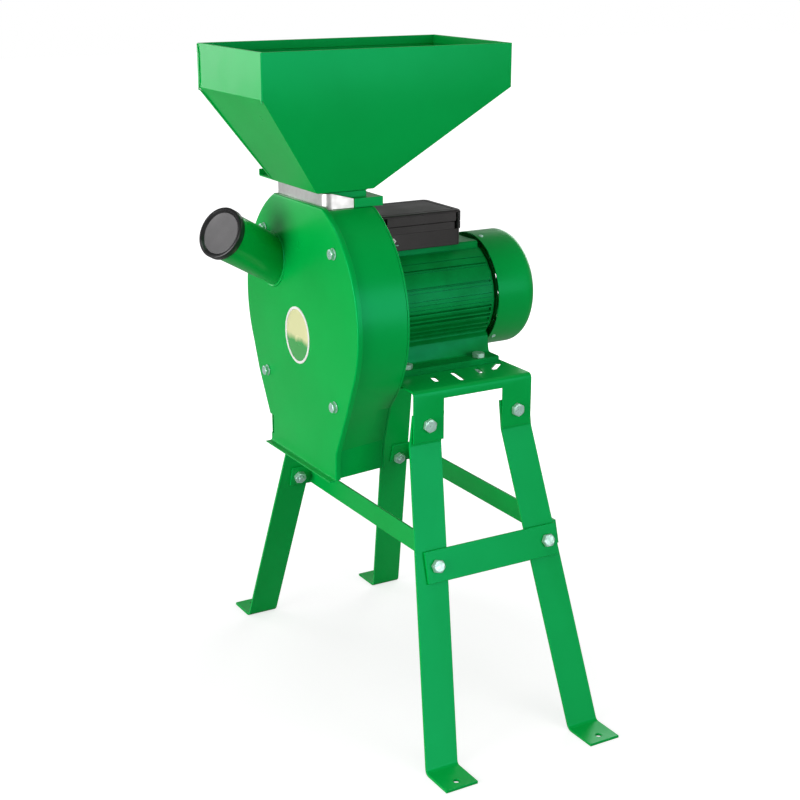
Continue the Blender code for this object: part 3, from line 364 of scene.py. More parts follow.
def metal_group():
    """Drawn or plated metal: streaks along one way, small spangles in the tint, and roughness that follows both."""
    tree, given, result = shader_group(
        "Metal skin",
        [("Base", "Color", WHITE_VALUE), ("Tint", "Color", WHITE_VALUE), ("Stretch", "Vector", (1.0, 1.0, 1.0)),
         ("Spangle scale", "Float", 160.0), ("Low roughness", "Float", 0.25), ("High roughness", "Float", 0.42)],
        SKIN_OUTPUTS)
    drawn = add(tree, "ShaderNodeVectorMath", {0: given["Vector"], 1: given["Stretch"]}, operation="MULTIPLY")
    streak = noise(tree, drawn.outputs[0], 260.0, 4.0)
    spangle = add(tree, "ShaderNodeTexVoronoi", {"Vector": given["Vector"], "Scale": given["Spangle scale"]})
    both = reckon(tree, "ADD", streak, spangle.outputs["Distance"])
    return give(tree, result, Colour=mixed(tree, ranged(tree, both, 0.45, 1.25), given["Base"], given["Tint"]),
                Roughness=ranged(tree, both, 0.4, 1.3, given["Low roughness"], given["High roughness"]),
                Height=streak)


def edge_group():
    """Mask along outside and inside edges: how far a rounded normal turns from the true one, broken up by noise."""
    tree, given, result = shader_group(
        "Edge mask", [("Radius", "Float", 0.0012), ("Gain", "Float", 2.2)], [("Mask", "Float")])
    soft = add(tree, "ShaderNodeBevel", {"Radius": given["Radius"]}, samples=4)
    true = add(tree, "ShaderNodeNewGeometry")
    turn = add(tree, "ShaderNodeVectorMath", {0: soft.outputs[0], 1: true.outputs["Normal"]}, operation="DOT_PRODUCT")
    away = reckon(tree, "SUBTRACT", 1.0, turn.outputs["Value"])
    patchy = ranged(tree, noise(tree, given["Vector"], 70.0, 3.0), 0.3, 0.7, 0.6, 1.0)
    broken = reckon(tree, "MULTIPLY", away, patchy)
    return give(tree, result, Mask=reckon(tree, "MULTIPLY", broken, given["Gain"], clamp=True))


def dust_group():
    """Thin dust: a mask that is strongest on faces that look up, in soft patches."""
    tree, given, result = shader_group("Thin dust", [("Amount", "Float", 0.1)], [("Mask", "Float")])
    true = add(tree, "ShaderNodeNewGeometry")
    parts = add(tree, "ShaderNodeSeparateXYZ", {0: true.outputs["Normal"]})
    up = ranged(tree, parts.outputs["Z"], 0.2, 1.0)
    patch = ranged(tree, noise(tree, given["Vector"], 28.0, 6.0), 0.42, 0.75)
    both = reckon(tree, "MULTIPLY", up, patch)
    return give(tree, result, Mask=reckon(tree, "MULTIPLY", both, given["Amount"], clamp=True))


GROUPS = {}
MINT = (0.06, 1.0, 0.66, 1.0)  # tint of the gloss on green
DUST = (0.55, 0.60, 0.52, 1.0)


def use(tree, group, inputs):
    """Places one of the groups with its values."""
    return add(tree, "ShaderNodeGroup", inputs, node_tree=GROUPS[group]).outputs


def rgba(values):
    return (*values, 1.0)


def finish(name, skin, edge, shader, bump=0.1, depth=0.0002, edge_wear_and_highlight=0.0, edge_radius=0.0012, dust=0.0):
    """One material: a skin group for colour, roughness and height, lighter edges (edge wear and a painted edge
    highlight), thin dust and a small bump.
    """
    made = bpy.data.materials.new(name)
    made.use_nodes = True
    tree = made.node_tree
    principled = tree.nodes["Principled BSDF"]
    place = add(tree, "ShaderNodeTexCoord").outputs["Object"]
    base = use(tree, "metal" if "Tint" in skin else "coat", {"Vector": place, **skin})
    tint = base["Colour"]
    # Lighter colour along the edges: partly edge wear, partly a painted edge highlight.
    if edge_wear_and_highlight:
        mask = use(tree, "edge", {"Vector": place, "Radius": edge_radius, "Gain": edge_wear_and_highlight})["Mask"]
        tint = mixed(tree, mask, tint, rgba(edge))
    if dust:
        mask = use(tree, "dust", {"Vector": place, "Amount": dust})["Mask"]
        tint = mixed(tree, mask, tint, DUST)
    tree.links.new(tint, principled.inputs["Base Color"])
    tree.links.new(base["Roughness"], principled.inputs["Roughness"])
    height = add(tree, "ShaderNodeBump", {"Strength": bump, "Distance": depth, "Height": base["Height"]})
    tree.links.new(height.outputs[0], principled.inputs["Normal"])
    for key, value in shader.items():
        principled.inputs[key].default_value = value
    return made


def coat(base, deep, low, high, patch=9.0, peel=420.0):
    """Values of a coat: a colour, a second one or its share of the first, roughness from low to high, and the
    scales of patches and peel."""
    deep = [deep * value for value in base] if isinstance(deep, float) else deep
    return {"Base": rgba(base), "Deep": rgba(deep), "Low roughness": low, "High roughness": high,
            "Patch scale": patch, "Peel scale": peel}


def metal(base, shade, low, high, stretch=(1.0, 1.0, 1.0), spangle=160.0):
    """Values of a metal: a colour and its darker share, roughness from low to high, streaks and spangles."""
    return {"Base": rgba(base), "Tint": rgba([shade * value for value in base]), "Low roughness": low,
            "High roughness": high, "Stretch": stretch, "Spangle scale": spangle}


def build_finishes(colours):
    """All materials of the mill, by name."""
    GROUPS.update(coat=coat_group(), metal=metal_group(), edge=edge_group(), dust=dust_group())
    # The green finishes take the mint edge colour: a painted edge highlight along with edge wear.
    paint, edge = colours.paint, colours.paint_edge_highlight_and_wear
    finish("Powder coat", coat(paint, colours.paint_deep, 0.27, 0.32), edge,
           {"Specular IOR Level": 0.42, "Specular Tint": MINT}, bump=0.03, edge_wear_and_highlight=0.5)
    finish("Motor enamel", coat(colours.motor, colours.motor_deep, 0.30, 0.48, 22.0, 700.0), edge,
           {"Specular IOR Level": 0.40, "Specular Tint": MINT},
           bump=0.30, depth=0.0003, edge_wear_and_highlight=1.3, edge_radius=0.0009)
    finish("Zinc sheet", metal(colours.zinc, 0.86, 0.26, 0.42, (0.15, 1.0, 1.0), 110.0), (0.95, 0.95, 0.95),
           {"Metallic": 0.75}, bump=0.08, edge_wear_and_highlight=1.0)
    # Mint plating colour: a painted reflection of the green paint.
    finish("Zinc plating", metal(colours.plating, 0.72, 0.22, 0.40), (0.92, 0.98, 0.95),
           {"Metallic": 0.6}, bump=0.10, edge_wear_and_highlight=1.2, edge_radius=0.0006)
    finish("Turned steel", metal(colours.steel, 0.75, 0.25, 0.45, (0.12, 1.0, 1.0), 240.0), (0.8, 0.8, 0.8),
           {"Metallic": 0.95}, bump=0.12, edge_wear_and_highlight=1.4, edge_radius=0.0008)
    finish("Black plastic", coat(colours.black, 0.75, 0.38, 0.55, 30.0, 1500.0),
           (0.14, 0.14, 0.14), {"Specular IOR Level": 0.42}, bump=0.25, edge_wear_and_highlight=0.5, dust=0.02)
    finish("Plug rim", coat(colours.rim, 0.8, 0.24, 0.34, 30.0, 900.0),
           (0.06, 0.07, 0.07), {"Specular IOR Level": 0.45}, bump=0.12, edge_wear_and_highlight=0.4)
    finish("Plug face", coat(colours.face, 0.85, 0.45, 0.6, 40.0, 1300.0),
           (0.40, 0.40, 0.40), {"Specular IOR Level": 0.35}, bump=0.25, edge_wear_and_highlight=0.5, dust=0.04)
    finish("White plastic", coat(colours.white, 0.92, 0.35, 0.5, 25.0, 1200.0),
           (0.92, 0.92, 0.90), {}, bump=0.15, edge_wear_and_highlight=0.5)
    finish("Varnished iron", coat(colours.iron, 0.5, 0.4, 0.6, 60.0, 600.0),
           (0.4, 0.32, 0.25), {"Metallic": 0.3}, bump=0.5, depth=0.0006, edge_wear_and_highlight=1.5)
    field = finish("Badge field", coat(colours.badge_high, colours.badge_low, 0.22, 0.3, 14.0, 300.0),
                   (0.9, 0.9, 0.85), {"Coat Weight": 0.4}, bump=0.05)
    split_field(field, colours)
    finish("Studio floor", coat(colours.floor, 0.985, 0.85, 0.95, 1.5, 90.0),
           (1, 1, 1), {"Specular IOR Level": 0.1}, bump=0.05)


FIELD_DROP = 0.040  # how far under the shaft the badge's two fields meet


def split_field(made, colours):
    """Badge field: pale above and green below, joined by a soft band at the height of its middle."""
    tree = made.node_tree
    place = add(tree, "ShaderNodeTexCoord").outputs["Object"]
    moved = add(tree, "ShaderNodeMapping", {"Vector": place, "Location": (0.0, 0.0, FIELD_DROP - AXIS_Z)})
    parts = add(tree, "ShaderNodeSeparateXYZ", {0: moved.outputs[0]})
    bent = reckon(tree, "MULTIPLY_ADD", noise(tree, place, 60.0, 2.0), 0.012, parts.outputs["Z"])
    share = ranged(tree, bent, 0.0, 0.010)
    tree.links.new(mixed(tree, share, rgba(colours.badge_low), rgba(colours.badge_high)),
                   tree.nodes["Principled BSDF"].inputs["Base Color"])


# Frame slot: the finish that its nodes take.
SLOT_FINISH = {
    "green_paint": "Powder coat",
    "motor_paint": "Motor enamel",
    "zinc": "Zinc sheet",
    "bolt_zinc": "Zinc plating",
    "black_plastic": "Black plastic",
    "plug_plastic": "Plug rim",
    "white_plastic": "White plastic",
    "winding_iron": "Varnished iron",
    "steel": "Turned steel",
}
NODE_FINISH = {"cooling_fan": "Motor enamel"}


def smoothing_tree():
    """Geometry group for a frame node: joins its triangles, drops their stored normals and marks sharp edges anew."""
    tree = bpy.data.node_groups.new("Fresh smoothing", "GeometryNodeTree")
    for way in ("INPUT", "OUTPUT"):
        tree.interface.new_socket(name="Geometry", in_out=way, socket_type="NodeSocketGeometry")
    given, result = tree.nodes.new("NodeGroupInput"), tree.nodes.new("NodeGroupOutput")
    joined = add(tree, "GeometryNodeMergeByDistance", {"Geometry": given.outputs[0], "Distance": 0.00001})
    bare = add(tree, "GeometryNodeRemoveAttribute", {"Geometry": joined.outputs[0], "Name": "custom_normal"})
    faces = add(tree, "GeometryNodeSetShadeSmooth", {"Geometry": bare.outputs[0], "Shade Smooth": True}, domain="FACE")
    angle = add(tree, "GeometryNodeInputMeshEdgeAngle")
    blunt = add(tree, "FunctionNodeCompare", {"A": angle.outputs[0], "B": SMOOTH_ANGLE}, operation="LESS_EQUAL")
    edges = add(tree, "GeometryNodeSetShadeSmooth",
                {"Geometry": faces.outputs[0], "Shade Smooth": blunt.outputs[0]}, domain="EDGE")
    tree.links.new(edges.outputs[0], result.inputs[0])
    return tree


# Frame nodes whose edges stay as they are, because they are replaced or hidden inside.
PLAIN_EDGES = ("sieve", "stator", "rotor_core", "front_bearing", "rear_bearing", "capacitor")
ROUNDING = {"hopper": 0.0005, "neck_band": 0.0005, "slide_gate": 0.0006, "throat_box": 0.0006}


class MILL_OT_finishes(Operator):
    """Builds the finishes and gives every frame node its own, with rounded edges."""

    bl_idname = "mill.finishes"
    bl_label = "Finishes"

    def execute(self, context):
        build_finishes(context.scene.mill_colours)
        fold = context.scene.mill_sizes.fold
        smoothing = smoothing_tree()
        for name, node in NODES.items():
            for slot in node.material_slots:
                chosen = NODE_FINISH.get(name, SLOT_FINISH[slot.material.name])
                slot.material = bpy.data.materials[chosen]
            node.modifiers.new("Fresh smoothing", "NODES").node_group = smoothing
            if name in PLAIN_EDGES:
                continue
            flat = node.modifiers.new("Flat faces", "DECIMATE")
            flat.decimate_type, flat.angle_limit = "DISSOLVE", FLAT_ANGLE
            round_edges(node, ROUNDING.get(name, fold))
        return {"FINISHED"}


# ---------------------------------------------------------------- fasteners
def hex_head(origin, axis, across, start, height, flat, hollow=0.0, turn=0.0):
    """Hexagon head or nut from start along its axis. Its radius by angle is the half width over the cosine of the
    angle to the nearest flat. A cone takes its top corners off: the height falls with the distance past the flat
    share of the half width, by the tangent of 30 degrees."""
    turns, rows, half = 60, 9, across / 2
    shape = 1 / np.cos((around(turns) + turn + pi / 6) % (pi / 3) - pi / 6)
    out = np.linspace(hollow / half, 1.0, rows)[:, None] * (half * shape)
    top = start + height - np.maximum(out - half * flat, 0) * 0.577
    out = np.concatenate([out, out[-1:], out[:1] * 0 + hollow])
    along = np.concatenate([top, np.full((2, turns), start)])
    return sheet(round_axis(origin, axis, along, out), closed=True)


def washer(origin, axis, start, thickness, radius):
    """Flat washer without its hole, with its edges taken off by a quarter of the thickness."""
    edge, end = thickness * 0.25, start + thickness
    profile = [(start, 0.0), (start, radius - edge), (start + edge, radius), (end - edge, radius),
               (end, radius - edge), (end, 0.0)]
    return turned(profile, origin, axis, 48)


def thread(origin, axis, start, end, radius, pitch=0.0014):
    """Threaded rod: the radius falls by an eighth between turns, and the turns climb one pitch for each turn round."""
    turns, rows = 28, int((end - start) / pitch * 4) + 2
    along = np.linspace(start, end, rows)[:, None] * np.ones(turns)
    wave = np.cos(2 * pi * along / pitch - around(turns))
    fade = np.clip((end - along) / pitch, 0, 1)
    out = radius * (0.94 + 0.06 * wave) * (0.86 + 0.14 * fade)
    out[0] = radius
    return loft(round_axis(origin, axis, along, out))


# Group of bolts: way its heads look, size's name, head height, nut height, washer, shank radius.
BOLT_KINDS = {
    "cover_bolt": ((-1, 0, 0), "cover_bolt", 0.0053, 0.0065, 0.0012, 0.0039),
    "leg_bolt": ((0, 1, 0), "frame_bolt", 0.0064, 0.0080, 0.0, 0.0049),
    "brace_bolt": ((0, 1, 0), "frame_bolt", 0.0064, 0.0080, 0.0, 0.0049),
    "motor_bolt": ((0, 0, 1), "frame_bolt", 0.0064, 0.0080, 0.0, 0.0049),
}
CORNERS = ("front_left", "front_right", "rear_left", "rear_right")
TAIL = 0.003  # thread that stands out past a nut
HEAD_EDGE = 0.0002


def bolt_line(node, out):
    """Middle of a bolt, its axis from nut to head and its two ends along it, from the main directions of its points."""
    points = node_points(node)
    middle = points.mean(0)
    ways = np.linalg.svd(points - middle, full_matrices=False)[2]
    axis = ways[np.argmax(np.abs(ways @ out))]
    axis = axis * np.sign(axis @ out)
    along = (points - middle) @ axis
    across = points - middle - along[:, None] * axis
    centre = middle + (across.max(0) + across.min(0)) / 2
    centre = centre - ((centre - middle) @ axis) * axis
    return centre, axis, along.min(), along.max()


class MILL_OT_fasteners(Operator):
    """Builds the bolts of cover, stand and motor with chamfered heads, washers, nuts and threads."""

    bl_idname = "mill.fasteners"
    bl_label = "Fasteners"

    def execute(self, context):
        sizes = context.scene.mill_sizes
        names = [f"cover_bolt_{k}" for k in range(1, 5)]
        names += [f"{kind}_{corner}" for kind in ("leg_bolt", "brace_bolt", "motor_bolt") for corner in CORNERS]
        for count, name in enumerate(names):
            out, size, head, nut, plate, shank = BOLT_KINDS["_".join(name.split("_")[:2])]
            across = getattr(sizes, size)
            out = np.array(out, float)
            if out[1]:
                out[1] = -1.0 if "right" in name else 1.0
            centre, axis, low, high = bolt_line(name, out)
            turn = radians(17 + 23 * count)
            parts = [
                hex_head(centre, axis, across, high - head, head, sizes.chamfer, 0.0, turn),
                hex_head(centre, -axis, across, -(low + TAIL + nut), nut, sizes.chamfer, shank * 0.98, turn * 1.7),
                thread(centre, -axis, -(high - head * 0.5), -low, shank),
            ]
            if plate:
                parts.append(washer(centre, axis, high - head - plate, plate, across * 0.62))
            made = piece(name + "_detail", parts, *PLATED, (name,), radians(24))
            round_edges(made, HEAD_EDGE, 1, radians(40))
        return {"FINISHED"}


# ---------------------------------------------------------------- motor
# Grooves of the motor body: angle above the level line in degrees, half width in degrees, depth as a share.
GROOVES = [
    (61.0, 0.4, 0.2), (48.8, 0.55, 0.35), (40.5, 1.0, 0.55), (37.6, 0.4, 0.2), (20.6, 1.15, 0.62), (16.4, 0.5, 0.3),
    (8.0, 0.5, 0.3), (3.6, 0.5, 0.25), (-1.0, 0.5, 0.25), (-5.2, 1.4, 0.80), (-10.4, 2.6, 1.0), (-16.2, 1.6, 1.0),
    (-22.3, 3.1, 1.0), (-29.0, 2.1, 1.0), (-34.6, 1.9, 1.0),
]


def body_radius(angle, depth):
    """Radius of the motor body by angle: the full radius less each groove, whose walls slope over a quarter of it."""
    grooves = np.array(GROOVES)
    near = (grooves[:, 1] - np.abs(angle[:, None] - grooves[:, 0])) / (grooves[:, 1] * 0.25)
    return BODY_R - depth * (np.clip(near, 0, 1) * grooves[:, 2]).max(1)


SIDE_LOW, SIDE_HIGH = -38.0, 62.5  # angles between which the body's side is ribbed
PAD_HALF = 0.036  # half width of the pad under the terminal box
FOOT_THICK = 0.008


def body_half(depth, floor):
    """Right half of the body's outline, from the pad under the terminal box down to the middle of the underside."""
    grooves = np.array(GROOVES)
    marks = [grooves[:, 0] + side * grooves[:, 1] * share for side in (-1, 1) for share in (1.0, 0.75)]
    angle = np.unique(np.round(np.concatenate([np.arange(SIDE_LOW, SIDE_HIGH + 0.1, 1.5), *marks]), 3))
    angle = angle[(angle <= SIDE_HIGH) & (angle >= SIDE_LOW)][::-1]
    side = polar(body_radius(angle, depth), np.radians(angle))
    top = BODY_HIGH.z - AXIS_Z
    pad = np.array([(0.0, top), (PAD_HALF - 0.002, top), (PAD_HALF, top - 0.002),
                    (PAD_HALF, BODY_R * sin(radians(SIDE_HIGH + 1)))])
    low = floor - AXIS_Z
    foot = np.array([
        (0.79 * BODY_R, -0.64 * BODY_R), (0.83 * BODY_R, -0.665 * BODY_R), (0.86 * BODY_R, -0.70 * BODY_R),
        (0.0705, low + 0.0125), (0.0715, low + 0.0098), (0.0735, low + 0.0083), (0.076, low + FOOT_THICK),
        (0.0965, low + FOOT_THICK), (0.098, low + 0.0065), (0.098, low), (0.64 * BODY_R, low),
        (0.51 * BODY_R, low + 0.012), (0.0365, -0.0689),
    ])
    under = np.radians(np.arange(-65.0, -90.1, -2.5))
    fins = BODY_R - depth * 0.8 * (np.arange(len(under)) % 4 == 2)
    return np.concatenate([pad, side, foot, polar(fins, under)])


class MILL_OT_motor_body(Operator):
    """Builds the ribbed motor body with its two feet."""

    bl_idname = "mill.motor_body"
    bl_label = "Motor body"

    def execute(self, context):
        half = body_half(context.scene.mill_sizes.fin_depth, BODY_LOW.z)
        outline = np.concatenate([half[:-1], half[::-1][:-1] * (-1, 1)])[1:]
        x0, x1, chamfer, wall, count = BODY_LOW.x, BODY_HIGH.x, 0.0006, 0.0114, 64
        pulled = outline * (1 - chamfer / BODY_R)
        stations = [(x0, pulled), (x0 + chamfer, outline), (x1 - chamfer, outline), (x1, pulled)]
        rings = np.array([upright(x, ring) for x, ring in stations])
        bore = polar(BODY_R - wall, around(count))
        hole = np.array([upright(x, bore) for x in (x0, x1)])
        outer, inner = rings.reshape(-1, 3), hole.reshape(-1, 3)
        faces = grid_faces(len(stations), len(outline)).tolist()
        faces += (grid_faces(2, count) + len(outer)).tolist()
        flat = [[Vector((y, z, 0)) for _, y, z in ring] for ring in (rings[0], hole[0])]
        for row, far in ((0, 0), (len(stations) - 1, 1)):
            index = np.concatenate([np.arange(len(outline)) + row * len(outline),
                                    np.arange(count) + len(outer) + far * count])
            faces += [[int(index[k]) for k in triangle] for triangle in tessellate_polygon(flat)]
        piece("motor_body", [(np.concatenate([outer, inner]), faces)], "Motor enamel", "machine",
              "motor_paint", ("motor_housing",), radians(28))
        return {"FINISHED"}


class MILL_OT_fan_cowl(Operator):
    """Builds the fan cowl with a rounded rear edge, air slots and three screws."""

    bl_idname = "mill.fan_cowl"
    bl_label = "Fan cowl"

    def execute(self, context):
        turns, sectors, wall, corner, slot = context.scene.mill_sizes.turns, 12, 0.0015, 0.0155, 0.0035
        x0, x1, radius = COWL_LOW.x, COWL_HIGH.x, COWL_R
        bend = np.linspace(0, pi / 2, 11)
        side = np.stack([np.linspace(x0, x1 - corner, 6), np.full(6, radius)], axis=-1)
        arc = np.stack([x1 - corner + corner * np.sin(bend), radius - corner + corner * np.cos(bend)], axis=-1)[1:]
        inward = np.array([0.064, 0.060, 0.052, 0.044, 0.034, 0.026, 0.022, 0.014, 0.0085])
        back = np.stack([np.full(len(inward), x1), inward], axis=-1)
        profile = np.concatenate([side, arc, back])
        each = turns // sectors
        within = np.arange(turns) % each / each * 2 - 1
        half = np.where(profile[:, 0] > x1 - 1e-6, slot / np.maximum(profile[:, 1], 0.02) + 0.02, pi / 24)[:, None]
        sector = np.floor_divide(np.arange(turns), each) * 2 * pi / sectors + pi / sectors
        bent = np.where(np.abs(within) <= 0.5, within * 2 * half,
                        np.sign(within) * (half + (np.abs(within) - 0.5) * 2 * (pi / sectors - half)))
        around_axis = polar(profile[:, 1, None], sector + bent)
        points = np.concatenate([profile[:, 0, None, None] * np.ones((turns, 1)), around_axis + (0.0, AXIS_Z)],
                                axis=-1)
        first = len(side) + len(arc) + 1
        rows = np.arange(len(profile) - 1)[:, None]
        skip = (rows >= first) & (rows < first + 5) & (np.abs(within + 1 / each) < 0.5)[None, :]
        made = piece("fan_cowl_detail", [sheet(points, closed=True, skip=skip)], *COAT, ("fan_cowl",), radians(40))
        walled(made, wall, 0.0004)
        ways = [np.array((0.0, cos(radians(degrees)), sin(radians(degrees)))) for degrees in (105, 225, 345)]
        middle, head = np.array((x0 + 0.008, 0.0, AXIS_Z)), 0.0036
        piece("cowl_screws", [pan_screw(middle + way * radius, way, head) for way in ways], *PLATED)
        return {"FINISHED"}


def pan_screw(seat, way, radius):
    """Low domed screw head whose top is cut by a cross: the height is a dome of the distance to the middle,
    less a cross where either way across is under a sixth of the radius."""
    turns, rows = 32, 10
    angle = around(turns)
    out = (np.linspace(1, 0, rows)[:, None] * radius) * np.ones(turns)
    rise = radius * 0.42 * np.sqrt(np.clip(1 - (out / radius) ** 2 * 0.92, 0, 1))
    nearest = np.minimum(np.abs(out * np.cos(angle)), np.abs(out * np.sin(angle)))
    rise = rise - ((nearest < radius * 0.17) & (out < radius * 0.62)) * radius * 0.22
    rise[0] = -0.0004
    return sheet(round_axis(seat, way, rise, out), closed=True)


# ---------------------------------------------------------------- casing
def arc_half(radius, flat_top, stop, turns=56):
    """Half outline of a drum: from its flat top down its round to the angle at which it stops."""
    return polar(radius, np.linspace(np.arcsin(flat_top / radius), stop, turns))


def inset_path(path, by):
    """Open path moved to its right by a distance: each corner moves along the mean of its two edges' normals,
    by the distance over the cosine of half its turn."""
    step = np.diff(path, axis=0)
    step /= np.linalg.norm(step, axis=1)[:, None]
    normal = np.stack([step[:, 1], -step[:, 0]], axis=-1)
    before, after = np.concatenate([normal[:1], normal]), np.concatenate([normal, normal[-1:]])
    mean = before + after
    mean /= np.linalg.norm(mean, axis=1)[:, None]
    return path + by * mean / np.clip((mean * after).sum(1), 0.4, 1)[:, None]


# Angle at which the drum's round ends in front and behind, then (y, height over the shaft) down each chute side.
FRONT_STOP, BACK_STOP = radians(-25.9), radians(-40.0)
RIGHT_SIDE = [(0.1362, -0.1135), (0.1050, -0.1795)]
LEFT_SIDE = [(0.1362, -0.1155), (0.1020, -0.1772), (0.0912, -0.1772)]
FRONT_CHUTE = [(0.1405, -0.0965), (0.1300, -0.1160), (0.1145, -0.1480), (0.1004, -0.1775), (0.1000, -0.197)]
BACK_CHUTE = [(0.1210, -0.1130), (0.1150, -0.1215), (0.1075, -0.1465), (0.0992, -0.1720), (0.0975, -0.1940)]
SHEET = 0.002  # thickness of the casing's sheet


def cover_path(radius, flat_top):
    """Edge of the cover, over its flat top from one bottom corner to the other; one side steps in at the knee."""
    half = arc_half(radius, flat_top, FRONT_STOP)
    low = COVER_LOW.z - AXIS_Z
    near, far = (np.concatenate([half, side]) for side in (RIGHT_SIDE + [(0.1042, low)], LEFT_SIDE + [(0.0905, low)]))
    return np.concatenate([near[::-1] * (-1, 1), far])


class MILL_OT_casing(Operator):
    """Builds the cover with its folded edge and bottom lip, the casing wall with its creased chute, and the back."""

    bl_idname = "mill.casing"
    bl_label = "Casing"

    def execute(self, context):
        radius, flat_top, bend, edge = COVER_HIGH.y, COVER_HIGH.z - AXIS_Z, 0.0022, 0.008
        path = cover_path(radius, flat_top)
        turn = np.linspace(0, pi / 2, 6)
        stations = [(COVER_FACE + edge, 0.0), (COVER_FACE + 0.5 * edge, 0.0)]
        stations += [(COVER_FACE + bend - bend * sin(a), bend * (1 - cos(a))) for a in turn]
        points, faces = sheet(np.array([upright(x, inset_path(path, inset)) for x, inset in stations]))
        faces.append([(len(stations) - 1) * len(path) + k for k in range(len(path))])
        cover = piece("cover_plate", [(points, faces)], *COAT, ("cover",), radians(40))
        walled(cover, SHEET, 0.0005)
        low, start, fold = COVER_LOW.z + 0.0001, COVER_FACE + 0.0006, 0.003
        section = [(start, COVER_LOW.z + 0.012)]
        section += [(start - fold * (1 - cos(a)), low + fold - fold * sin(a)) for a in turn]
        section.append((COVER_LOW.x, low))
        lip = np.array([[(x, y, z) for y in (-0.1035, -0.05, 0.0, 0.05, 0.0985)] for x, z in section])
        walled(piece("cover_lip", [sheet(lip)], *COAT, (), radians(40)), 0.0018, 0.0004)
        gap = 0.0045
        self.wall(radius - gap, flat_top - gap)
        return {"FINISHED"}

    def wall(self, radius, flat_top):
        """Ruled surface between a front and a back outline, so that the chute's crease runs out to the front."""
        back_low, back_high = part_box("back_plate")
        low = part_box("casing_shell")[0].z - AXIS_Z
        front = np.concatenate([arc_half(radius, flat_top, FRONT_STOP), FRONT_CHUTE, [(0.0997, low)]])
        back = np.concatenate([arc_half(radius, flat_top, BACK_STOP), BACK_CHUTE, [(0.0962, low + 0.003)]])
        share = np.linspace(0, 1, 8)[:, None, None]
        outlines = [np.concatenate([half[::-1] * (-1, 1), half]) for half in (front, back)]
        behind_cover, before_back = COVER_FACE + 0.0023, back_low.x - 0.0003
        drawn = [upright(x, outline) for x, outline in zip((behind_cover, before_back), outlines)]
        made = piece("casing_wall", [sheet(drawn[0] * (1 - share) + drawn[1] * share)], *COAT, ("casing_shell",),
                     radians(12))
        walled(made, SHEET, 0.0005)
        rings = np.array([upright(x, outlines[1]) for x in (back_low.x, back_high.x)])
        round_edges(piece("casing_back", [loft(rings)], *COAT, ("back_plate",)), 0.0005, 2, radians(50))


# ---------------------------------------------------------------- terminal box
class MILL_OT_terminal_box(Operator):
    """Builds the terminal box: base and lid with stepped corners, sunk line, corner posts, clip and lead nipple."""

    bl_idname = "mill.terminal_box"
    bl_label = "Terminal box"

    def execute(self, context):
        def ring(low, high, inset, corner, z, notch=0.0):
            sides = low.x + inset, high.x - inset, low.y + inset, high.y - inset
            return notched_box(*sides, notch, z) if notch else rounded_box(*sides, corner, z)

        seat, split, top, notch = BASE_LOW.z, BASE_HIGH.z, LID_HIGH.z, 0.0105
        shoulder, low = split - notch, LID_LOW.z
        base = [ring(BASE_LOW, BASE_HIGH, *values) for values in (
            (0.0010, 0.006, seat), (0.0, 0.007, seat + 0.001), (0.0, 0.007, shoulder - 0.0004),
            (0.0004, 0.007, shoulder), (0.0, 0.0, shoulder, notch), (0.0, 0.0, split - 0.0006, notch),
            (0.0006, 0.0, split, notch), (0.0040, 0.0, split, notch), (0.0040, 0.0, split - 0.008, notch))]
        piece("terminal_box_body", [loft(base)], *BLACK, ("terminal_box_base",))
        lid = [ring(LID_LOW, LID_HIGH, *values) for values in (
            (0.0040, 0.0, split - 0.001, notch), (0.0040, 0.0, low, notch), (0.0006, 0.0, low, notch),
            (0.0, 0.0, low + 0.0006, notch), (0.0, 0.0, top - 0.0032, notch), (0.0004, 0.0085, top - 0.0031),
            (0.0, 0.0085, top - 0.0026), (0.0003, 0.0085, top - 0.0014), (0.0010, 0.008, top - 0.0006),
            (0.0020, 0.0075, top - 0.0001), (0.0030, 0.007, top), (0.0085, 0.005, top), (0.0090, 0.005, top - 0.0009),
            (0.0104, 0.005, top - 0.0009), (0.0109, 0.005, top), (0.0200, 0.004, top))]
        piece("terminal_box_cap", [loft(lid)], *BLACK, ("terminal_box_lid",), radians(40))
        post = [(0.0, 0.0), (0.0, 0.0026), (0.0005, 0.0032), (0.0100, 0.0032), (0.0104, 0.0028),
                (0.0112, 0.0028), (0.0116, 0.0032), (0.0240, 0.0032), (0.0240, 0.0)]
        in_x, in_y = 0.0052, 0.0036
        parts = [turned(post, (x, y, shoulder - 0.0002), (0, 0, 1), 24)
                 for x in (LID_LOW.x + in_x, LID_HIGH.x - in_x) for y in (LID_LOW.y + in_y, LID_HIGH.y - in_y)]
        piece("terminal_box_posts", parts, "Plug rim", "machine", "black_plastic")
        levels = ((-0.001, split - 0.006), (0.0, split - 0.0052), (0.0, top - 0.0042), (-0.001, top - 0.0034))
        clip = [rounded_box(LID_HIGH.x - 0.0018, LID_HIGH.x, 0.030 - grown, 0.040 + grown, 0.0008, z, 3)
                for grown, z in levels]
        piece("terminal_box_clip", [loft(clip)], *BLACK)
        self.stub()
        return {"FINISHED"}

    def stub(self):
        """White square nipple with its washer, where the lead would enter."""
        low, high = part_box("cable_gland")
        x, z = (low.x + high.x) / 2 - 0.004, (low.z + high.z) / 2
        square = [rounded_box(-h, h, -h, h, 0.0008, 0.0, 3) for h in (0.0030, 0.0034, 0.0034, 0.0030, 0.0016, 0.0014)]
        depth = (0.0, -0.0006, -0.0058, -0.0064, -0.0064, -0.0040)
        turn = radians(42)
        rings = [np.stack([x + q[:, 0] * cos(turn) - q[:, 1] * sin(turn), BASE_LOW.y + 0.0002 + np.full(len(q), d),
                           z + q[:, 0] * sin(turn) + q[:, 1] * cos(turn)], axis=-1) for q, d in zip(square, depth)]
        piece("lead_nipple", [loft(rings)], *WHITE, ("cable_gland",))
        plate = washer((x + 0.0055, BASE_LOW.y - 0.0030, z - 0.0068), (0, 0, 1), 0.0, 0.0012, 0.0042)
        piece("lead_washer", [plate], *PLATED)


